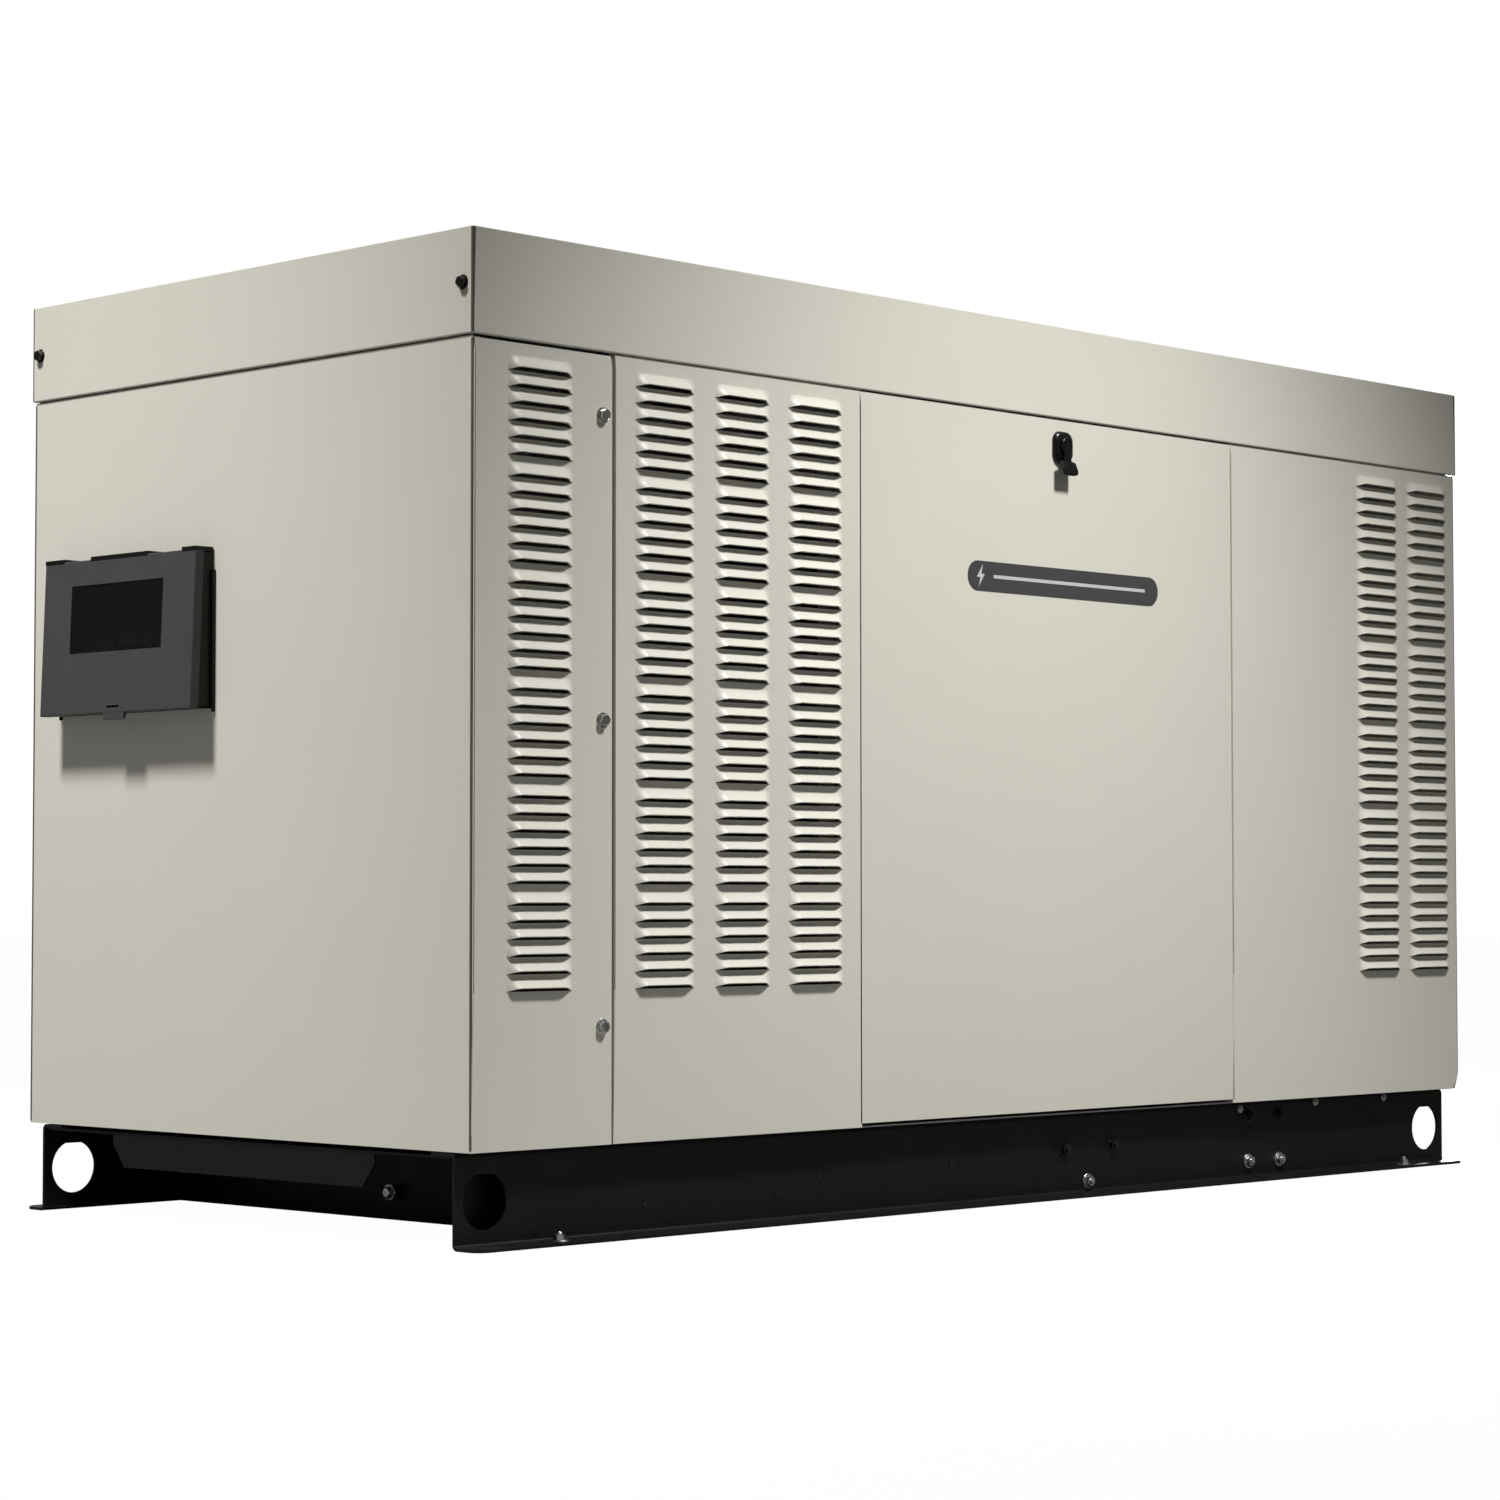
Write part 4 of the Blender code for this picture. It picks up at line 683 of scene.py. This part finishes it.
# ================================================================ base rails
def rail(word, s):
    r_out, r_in = 0.007, 0.003
    section = [(-0.0133, 0.0)]
    section += arc(0.0307 - r_out, r_out, r_out, -90, 0)
    section += [(0.0307 + r_in + r_in * math.cos(math.radians(a)), 0.1045 - r_in + r_in * math.sin(math.radians(a))) for a in (180, 150, 120, 90)]
    section += [(0.0667, 0.1045), (0.0667, 0.1085)]
    section += arc(0.0267 + r_out, 0.1085 - r_out, r_out, 90, 180)
    section += [(0.0267 - r_in + r_in * math.cos(math.radians(a)), 0.004 + r_in + r_in * math.sin(math.radians(a))) for a in (0, -30, -60, -90)]
    section += [(-0.0133, 0.004)]
    bm = bmesh.new()
    add_prism(bm, [(inset(s, d), z) for d, z in section], "X", along(0.0), along(1.947))
    toe = [e for e in bm.edges if all(abs(v.co.y - inset(s, -0.0133)) < 1e-6 for v in e.verts) and abs(e.verts[0].co.z - e.verts[1].co.z) > 1e-4]
    bmesh.ops.bevel(bm, geom=toe, offset=0.018, segments=8, profile=0.5, affect="EDGES")
    bites = []
    lo, hi = sorted((inset(s, 0.020), inset(s, 0.038)))
    for x in (0.045, 1.902):
        half = math.acos(0.030 / 0.0325)
        ring = [(along(x) + 0.0325 * math.sin(half + (2 * math.pi - 2 * half) * k / 40), 0.053 + 0.0325 * math.cos(half + (2 * math.pi - 2 * half) * k / 40)) for k in range(41)]
        bites.append(cutter(lambda b, ring=ring: add_prism(b, ring, "Y", lo, hi)))
    piece(f"{word}_rail_channel", bm, BASE, bevel=0.0007, segments=2, slot="base_paint", replaces=(f"{word}_rail",), cuts=bites, angle=28)

    bm = bmesh.new()
    for x, z in ((0.2954, 0.036), (0.5193, 0.0355), (0.5928, 0.0515), (0.8397, 0.0529)):
        add_turned(bm, [(0.0058, inset(s, 0.0270)), (0.0058, inset(s, 0.0262)), (0.0050, inset(s, 0.0258)), (0.0044, inset(s, 0.0258)), (0.0036, inset(s, 0.0265))], "Y", (along(x), z), 20)
    piece(f"{word}_rail_hole_plugs", bm, GLOSS, slot="base_paint", angle=50)

    out = (0, s, 0)
    for finish, slot, name, spots in (
        (BLACK_STEEL, "black_steel", "dark_nuts", ((1.063, 0.0615, 0.0078), (1.164, 0.0626, 0.0078), (1.469, 0.089, 0.0078), (1.539, 0.0874, 0.0078))),
        (ZINC, "zinc_steel", "bright_nuts", ((1.1127, 0.0169, 0.0078), (1.467, 0.0252, 0.0078), (1.539, 0.0244, 0.0078), (1.626, 0.1010, 0.0042), (1.795, 0.1010, 0.0042), (1.448, 0.098, 0.0042))),
    ):
        bm = bmesh.new()
        for i, (x, z, r) in enumerate(spots):
            hex_bolt(bm, (along(x), inset(s, 0.0267), z), out, r=r, washer=r * 1.35, height=r * 0.85, washer_t=0.0013, turn=0.35 * i)
            stud = (along(x), inset(s, 0.0267 - r * 0.80), z)
            add_turned(bm, [(r * 0.48, stud[1]), (r * 0.48, stud[1] + s * r * 0.30), (r * 0.38, stud[1] + s * r * 0.36)], "Y", (stud[0], stud[2]), 14)
        piece(f"{word}_rail_{name}", bm, finish, slot=slot, angle=30)
    bm = bmesh.new()
    for x in (0.137, 1.812):
        hex_bolt(bm, (along(x), inset(s, 0.0035), 0.0041), (0, 0, 1), r=0.0075, washer=0.0115, height=0.0075, turn=0.2)
        add_turned(bm, [(0.0038, 0.0095), (0.0038, 0.0140), (0.0030, 0.0150)], "Z", (along(x), inset(s, 0.0035)), 14)
    piece(f"{word}_anchor_bolts", bm, ZINC, slot="zinc_steel", angle=30)


rail("front", -1)
rail("rear", 1)
bm = bmesh.new()
add_prism(bm, [(along(0.030), 0.012), (along(0.112), 0.012), (along(0.112), 0.092), (along(0.102), 0.1000), (along(0.030), 0.1000)], "Y", inset(-1, 0.0550), inset(-1, 0.0580))
piece("lift_eye_backing", bm, BASE, slot="base_paint", bevel=0.0008, segments=2)

# ================================================================ bolts on the cabinet
for name, z in (("lower", 0.244), ("middle", 0.595), ("upper", 0.947)):
    bm = bmesh.new()
    hex_bolt(bm, (along(0.200), -CAB_W / 2, z), (0, -1, 0), r=0.0074, washer=0.0096, turn=0.3 + z)
    piece(f"corner_bolt_{name}_head", bm, ZINC, slot="zinc_steel", replaces=(f"corner_bolt_{name}",), angle=30)
for end, face, out in (("left", -0.003, -1), ("right", CAB_L + 0.003, 1)):
    for word, s in (("front", -1), ("rear", 1)):
        bm = bmesh.new()
        hex_bolt(bm, (along(face), inset(s, 0.0135), 1.0786), (out, 0, 0), r=0.0068, washer=0.0086, turn=0.4)
        piece(f"roof_bolt_{end}_{word}_head", bm, BLACK_STEEL, slot="black_steel", replaces=(f"roof_bolt_{end}_{word}",), angle=30)

# ================================================================ door latches and emblem
LATCH_X, LATCH_Z = 1.031, 0.984


def rounded(half, top, bottom, r, n=10):
    cx = along(LATCH_X)
    out = []
    for px, pz, a0 in ((cx + half - r, top - r, 0), (cx - half + r, top - r, 90), (cx - half + r, bottom + r, 180), (cx + half - r, bottom + r, 270)):
        out += arc(px, pz, r, a0, a0 + 90, n)
    return out


for word, s in (("front", -1), ("rear", 1)):
    bm = bmesh.new()
    rings = []
    for tuck, d in ((0.0, -0.0003), (0.0, -0.0022), (0.0006, -0.0040), (0.0020, -0.0056), (0.0042, -0.0067), (0.0072, -0.0073), (0.0110, -0.0075)):
        rings.append([bm.verts.new((x, inset(s, d), z)) for x, z in rounded(0.0190 - tuck, 1.0030 - tuck, 0.9610 + tuck, 0.0135 - tuck * 0.9)])
    for a, b in zip(rings, rings[1:]):
        for i in range(len(a)):
            j = (i + 1) % len(a)
            bm.faces.new((a[i], a[j], b[j], b[i]))
    bm.faces.new(rings[0])
    bm.faces.new(rings[-1])
    piece(f"{word}_latch_escutcheon", bm, GLOSS, body=f"{word}_door", slot="black_gloss", replaces=(f"{word}_latch_plate",), angle=50)

    bm = bmesh.new()
    neck = [(-0.0079, 0.9905), (-0.0098, 0.9895), (-0.0112, 0.9840), (-0.0118, 0.9660), (-0.0132, 0.9605), (-0.0150, 0.9550), (-0.0120, 0.9550), (-0.0079, 0.9630)]
    add_prism(bm, [(inset(s, d), z) for d, z in neck], "X", along(LATCH_X - 0.0065), along(LATCH_X + 0.0065))
    # the paddle: a flared thumb pull, dished across its width
    face_line = [(-0.0090, 0.9650), (-0.0122, 0.9622), (-0.0138, 0.9586), (-0.0155, 0.9545), (-0.0168, 0.9495), (-0.0172, 0.9455), (-0.0164, 0.9437)]
    back_line = [(-0.0079, 0.9620), (-0.0095, 0.9590), (-0.0108, 0.9550), (-0.0120, 0.9515), (-0.0130, 0.9480), (-0.0137, 0.9455), (-0.0140, 0.9440)]
    cols = 12
    sheets = []
    for line, sign in ((face_line, 1), (back_line, 0)):
        grid = []
        for i in range(cols + 1):
            u = -1 + 2 * i / cols
            wide = 0.0148
            grid.append([bm.verts.new((along(LATCH_X) + wide * u, inset(s, d + sign * 0.0009 * (1 - u * u) * min(1.0, k / 3)), z + (0.0022 * u ** 4 if k > 3 else 0.0) - (0.0030 * u ** 4 if k == 0 else 0.0))) for k, (d, z) in enumerate(line)])
        sheets.append(grid)
    a, b = sheets
    last = len(face_line) - 1
    for i in range(cols):
        for k in range(last):
            bm.faces.new((a[i][k], a[i + 1][k], a[i + 1][k + 1], a[i][k + 1]))
            bm.faces.new((b[i][k], b[i][k + 1], b[i + 1][k + 1], b[i + 1][k]))
        bm.faces.new((a[i][0], b[i][0], b[i + 1][0], a[i + 1][0]))
        bm.faces.new((a[i][last], a[i + 1][last], b[i + 1][last], b[i][last]))
    for i in (0, cols):
        for k in range(last):
            bm.faces.new((a[i][k], a[i][k + 1], b[i][k + 1], b[i][k]))
    lo_, hi_ = inset(s, -0.0079), inset(s, 0.0165)
    add_turned(bm, [(0.0110, lo_), (0.0110, inset(s, -0.0104)), (0.0100, inset(s, -0.0113)), (0.0070, inset(s, -0.0115))], "Y", (along(LATCH_X), LATCH_Z), 28)
    add_turned(bm, [(0.0062, lo_), (0.0062, hi_)], "Y", (along(LATCH_X), LATCH_Z), 20)
    add_box(bm, (along(LATCH_X - 0.0095), inset(s, 0.0120), LATCH_Z - 0.0105), (along(LATCH_X + 0.0095), inset(s, 0.0155), LATCH_Z + 0.029))
    piece(f"{word}_latch_paddle", bm, GLOSS, body=f"{word}_latch", slot="black_gloss", replaces=(f"{word}_latch_handle",), bevel=0.0009,
          segments=3, angle=35, limit=40)

# plain badge on the front door: a dark bar with a light spark shape
BADGE = look("badge_charcoal_film", (0.055, 0.055, 0.058), 0.36, vary=0.06, vary_scale=18.0, rough_vary=0.05, rough_scale=90.0,
             bump=0.00003, bump_scale=1200.0, speckle=0.04, speckle_scale=1500.0)
BADGE_LIGHT = look("badge_light_film", (0.50, 0.50, 0.49), 0.40, vary=0.04, vary_scale=30.0, bump=0.00002, bump_scale=900.0)


def badge():
    bx0, bx1, bz0, bz1, r = 0.842, 1.234, 0.7845, 0.8225, 0.0190
    outline = []
    for cx, cz, a0 in ((bx1 - r, bz0 + r, -90), (bx1 - r, bz1 - r, 0), (bx0 + r, bz1 - r, 90), (bx0 + r, bz0 + r, 180)):
        outline += [(along(px), pz) for px, pz in arc(cx, cz, r * 0.999, a0, a0 + 90, 8)]
    bm = bmesh.new()
    add_prism(bm, outline, "Y", inset(-1, -0.0001), inset(-1, -0.0008))
    cx, cz = 0.8665, (bz0 + bz1) / 2
    spark = [(0.0040, 0.0140), (-0.0075, -0.0020), (-0.0008, -0.0020), (-0.0040, -0.0140), (0.0075, 0.0022), (0.0008, 0.0022)]
    add_prism(bm, [(along(cx + dx), cz + dz) for dx, dz in spark], "Y", inset(-1, -0.0007), inset(-1, -0.0012), mat=1)
    add_box(bm, (along(0.892), inset(-1, -0.0007), cz - 0.0022), (along(1.205), inset(-1, -0.0011), cz + 0.0022), mat=1)
    piece("door_badge", bm, [BADGE, BADGE_LIGHT], body="front_door", slot="charcoal_plastic", weighted=False)


badge()

# upright corner joints: strips of painted shade on the rounded corners; and a black strip in the gap under the roof,
# painted shade for that gap
bm = bmesh.new()
for s_ in (-1, 1):
    for x_face, inward in ((0.0, 1), (CAB_L, -1)):
        lo, hi = sorted((inset(s_, -0.0002), inset(s_, 0.0032)))
        a, b = sorted((along(x_face - inward * 0.0002), along(x_face + inward * 0.0014)))
        add_box(bm, (a, lo, PANEL_Z0 + (0.0 if inward > 0 else 0.0200)), (b, hi, 1.0158))
piece("cabinet_corner_joints", bm, CORNER_SHADE, slot="cabinet_paint", bevel=0.0003, segments=1)
# black strip in the gap under the roof at the corner sheets, doors and ends: painted shade for the gap
bm = bmesh.new()
for s_ in (-1, 1):
    for u0, u1 in ((0.004, 0.2124), (0.6420, 1.3960)):
        lo, hi = sorted((inset(s_, 0.0030), inset(s_, 0.0100)))
        add_box(bm, (along(u0), lo, 1.0168), (along(u1), hi, 1.0203))
for x_face, inward in ((0.0, 1), (CAB_L, -1)):
    a, b = sorted((along(x_face + inward * 0.0030), along(x_face + inward * 0.0100)))
    add_box(bm, (a, -CAB_W / 2 + 0.010, 1.0168), (b, CAB_W / 2 - 0.010, 1.0203))
piece("roof_seal", bm, RUBBER, slot="rubber", bevel=0.0006, segments=2)

# ================================================================ controller: cover, pane, housing and face
def controller():
    y0, y1, z0, z1 = 0.0475, 0.353, 0.617, 0.8085
    z_mid = 0.617

    def face(z, depth=0.0):
        return along(-0.0280 - (0.812 - z) * (0.0078 / 0.195) + depth)
    wall, back = 0.0026, 0.0125
    bm = bmesh.new()
    weight = bm.edges.layers.float.new("bevel_weight_edge")
    ys, zs = [y0, 0.109, 0.189, 0.214, 0.295, y1], [z0, 0.6237, 0.6263, 0.693, 0.777, z1]
    front = [[bm.verts.new((face(z), yy, z)) for z in zs] for yy in ys]
    for i in range(5):
        for j in range(5):
            if (1 <= i <= 3 and j == 3) or (i == 2 and j == 1):
                continue
            bm.faces.new((front[i][j], front[i][j + 1], front[i + 1][j + 1], front[i + 1][j]))
    loop = [(i, 0) for i in range(6)] + [(5, j) for j in range(1, 6)] + [(i, 5) for i in range(4, -1, -1)] + [(0, j) for j in range(4, 0, -1)]
    rear = [bm.verts.new((face(zs[j], back), ys[i], zs[j])) for i, j in loop]
    for k in range(len(loop)):
        a, b = loop[k], loop[(k + 1) % len(loop)]
        bm.faces.new((front[a[0]][a[1]], front[b[0]][b[1]], rear[(k + 1) % len(loop)], rear[k]))
        bm.edges.get((front[a[0]][a[1]], front[b[0]][b[1]]))[weight] = 1.0
    for k in (0, 5, 10, 15):
        i, j = loop[k]
        bm.edges.get((front[i][j], rear[k]))[weight] = 1.0
    bmesh.ops.recalc_face_normals(bm, faces=bm.faces[:])
    if max(bm.faces, key=lambda f: f.calc_area()).normal.x > 0:
        bmesh.ops.reverse_faces(bm, faces=bm.faces[:])
    piece("controller_cover_tray", bm, PLASTIC, body="controller_cover", slot="charcoal_plastic", replaces=("controller_cover",),
          bevel=0.0016, segments=3, by_weight=True, thick=wall, recalc=False, angle=35)
    # darker skirt between the tray and the end panel, its hinge blocks and the pull tab
    bm = bmesh.new()
    tuck = 0.0012
    for lo, hi in ((y0 + tuck, y0 + tuck + wall), (y1 - tuck - wall, y1 - tuck)):
        add_prism(bm, [(face(z0 + tuck, back - 0.0015), z0 + tuck), (along(-0.0010), z0 + tuck), (along(-0.0010), z1 - tuck), (face(z1 - tuck, back - 0.0015), z1 - tuck)], "Y", lo, hi)
    add_prism(bm, [(face(z0, back - 0.0015), z0 + tuck), (along(-0.0010), z0 + tuck), (along(-0.0010), z0 + tuck + wall), (face(z0, back - 0.0015), z0 + tuck + wall)], "Y", y0 + tuck, y1 - tuck)
    add_prism(bm, [(face(z1, back - 0.0015), z1 - tuck), (along(-0.0010), z1 - tuck), (along(-0.0010), z1 - tuck - wall), (face(z1, back - 0.0015), z1 - tuck - wall)], "Y", y0 + tuck, y1 - tuck)
    for lo, hi in ((y0, 0.0745), (0.142, 0.258), (0.313, y1)):
        add_box(bm, (face(0.8085, -0.0004), lo, 0.8062), (along(-0.0012), hi, 0.8120))
    piece("controller_cover_skirt", bm, BLACK_MOULD, body="controller_cover", slot="charcoal_plastic", bevel=0.0006, segments=2)
    bm = bmesh.new()
    add_prism(bm, [(face(z0, 0.0002), z0 + 0.0015), (face(z0, -0.0001), 0.6085), (face(z0, 0.0024), 0.6085), (face(z0, 0.0040), 0.6120), (face(z0, 0.0066), z0 + 0.0015)], "Y", 0.1790, 0.2210)
    piece("controller_cover_tab", bm, PLASTIC, body="controller_cover", slot="charcoal_plastic", bevel=0.0008, segments=2)
    bm = bmesh.new()
    add_prism(bm, [(face(0.6935, 0.0009), 0.6935), (face(0.6935, 0.0024), 0.6935), (face(0.7765, 0.0024), 0.7765), (face(0.7765, 0.0009), 0.7765)], "Y", 0.1095, 0.2945)
    piece("controller_pane", bm, WINDOW, body="controller_cover", slot="smoked_window", replaces=("cover_window",), bevel=0.0003, segments=1)

    hy0, hy1, hz0, hz1 = 0.063, 0.3375, 0.6325, 0.7965
    bm = bmesh.new()
    add_box(bm, (along(-0.0035), hy0, hz0), (along(0.075), hy1, hz1))
    hollow = cutter(lambda b: add_box(b, (along(-0.02), hy0 + 0.0025, hz0 + 0.0025), (along(0.0725), hy1 - 0.0025, hz1 - 0.0025)))
    piece("controller_tub", bm, BLACK_MOULD, slot="charcoal_plastic", replaces=("controller_housing",), cuts=(hollow,), bevel=0.0010, segments=2)
    bm = bmesh.new()
    for a, b in (((hy0 - 0.006, hz0 - 0.006), (hy0 + 0.0025, hz1 + 0.006)), ((hy1 - 0.0025, hz0 - 0.006), (hy1 + 0.006, hz1 + 0.006)),
                 ((hy0 + 0.0020, hz0 - 0.006), (hy1 - 0.0020, hz0 + 0.0025)), ((hy0 + 0.0020, hz1 - 0.0025), (hy1 - 0.0020, hz1 + 0.006))):
        add_box(bm, (along(-0.0045), a[0], a[1]), (along(-0.0003), b[0], b[1]))
    for lo, hi in ((0.0440, 0.0471), (0.3534, 0.3560)):
        add_box(bm, (along(-0.0045), lo, 0.6140), (along(-0.0003), hi, 0.7850))
    piece("controller_tub_flange", bm, BLACK_MOULD, slot="charcoal_plastic", bevel=0.0007, segments=2)
    # display, lamps and key surrounds on the faceplate
    x = along(0.0060)
    bm = bmesh.new()
    add_box(bm, (x + 0.0002, 0.166, 0.6985), (x - 0.0014, 0.254, 0.7425))
    window = cutter(lambda b: add_box(b, (x - 0.004, 0.173, 0.7045), (x - 0.0004, 0.247, 0.7365)))
    piece("display_bezel", bm, GLOSS, slot="faceplate", cuts=(window,), bevel=0.0006, segments=2)
    bm = bmesh.new()
    add_box(bm, (x - 0.0006, 0.1732, 0.7047), (x - 0.0003, 0.2468, 0.7363))
    piece("display_glass", bm, LCD, slot="faceplate", weighted=False)
    bm = bmesh.new()
    for i in range(2):
        for k in range(12):
            add_box(bm, (x - 0.0006, 0.1795 + k * 0.0052, 0.7115 + i * 0.0110), (x - 0.00075, 0.1829 + k * 0.0052, 0.7175 + i * 0.0110))
    piece("display_segments", bm, LCD_DARK, slot="faceplate", weighted=False)
    for name, finish, y in (("green", LED_GREEN, 0.1160), ("amber", LED_AMBER, 0.1080), ("red", LED_RED, 0.1240)):
        bm = bmesh.new()
        add_turned(bm, [(0.0024, x + 0.0002), (0.0024, x - 0.0006), (0.0018, x - 0.0014), (0.0008, x - 0.0018)], "X", (y, 0.7560), 18)
        piece(f"lamp_{name}", bm, finish, slot="faceplate", angle=60)
    bm = bmesh.new()
    for y in (0.235, 0.215, 0.195, 0.175):
        add_turned(bm, [(0.0088, x + 0.0003), (0.0088, x - 0.0004), (0.0082, x - 0.0008), (0.0072, x - 0.0008), (0.0068, x - 0.0003)], "X", (y, 0.656), 28)
    ring_holes = [cutter(lambda b, y=y: add_turned(b, [(0.0067, x + 0.002), (0.0067, x - 0.003)], "X", (y, 0.656), 28)) for y in (0.235, 0.215, 0.195, 0.175)]
    piece("key_surrounds", bm, KEY, slot="key_grey", cuts=ring_holes, angle=45)


BLACK_MOULD = look("black_moulding", (0.0052, 0.0046, 0.0038), 0.50, specular=0.30, vary=0.10, vary_scale=14.0, rough_vary=0.06, rough_scale=70.0,
                   bump=0.00006, bump_scale=1400.0, speckle=0.06, speckle_scale=1600.0)
LCD = look("display_glass", (0.115, 0.135, 0.105), 0.22, vary=0.05, vary_scale=30.0, bump=0.00001, bump_scale=1500.0)
LCD_DARK = look("display_segments", (0.022, 0.028, 0.020), 0.35, vary=0.10, vary_scale=60.0, bump=0.00001, bump_scale=1500.0)
LED_GREEN = look("lamp_green", (0.04, 0.26, 0.05), 0.22, vary=0.10, vary_scale=200.0, bump=0.00001, bump_scale=1500.0)
LED_AMBER = look("lamp_amber", (0.50, 0.24, 0.02), 0.22, vary=0.10, vary_scale=200.0, bump=0.00001, bump_scale=1500.0)
LED_RED = look("lamp_red", (0.42, 0.03, 0.02), 0.22, vary=0.10, vary_scale=200.0, bump=0.00001, bump_scale=1500.0)
controller()

# bright grounding lug under the controller end
bm = bmesh.new()
hex_bolt(bm, (along(0.1935), 0.365 - CAB_W / 2, 0.036), (-1, 0, 0), r=0.0070, washer=0.0105, height=0.0065)
piece("ground_lug", bm, ZINC, slot="zinc_steel", angle=30)
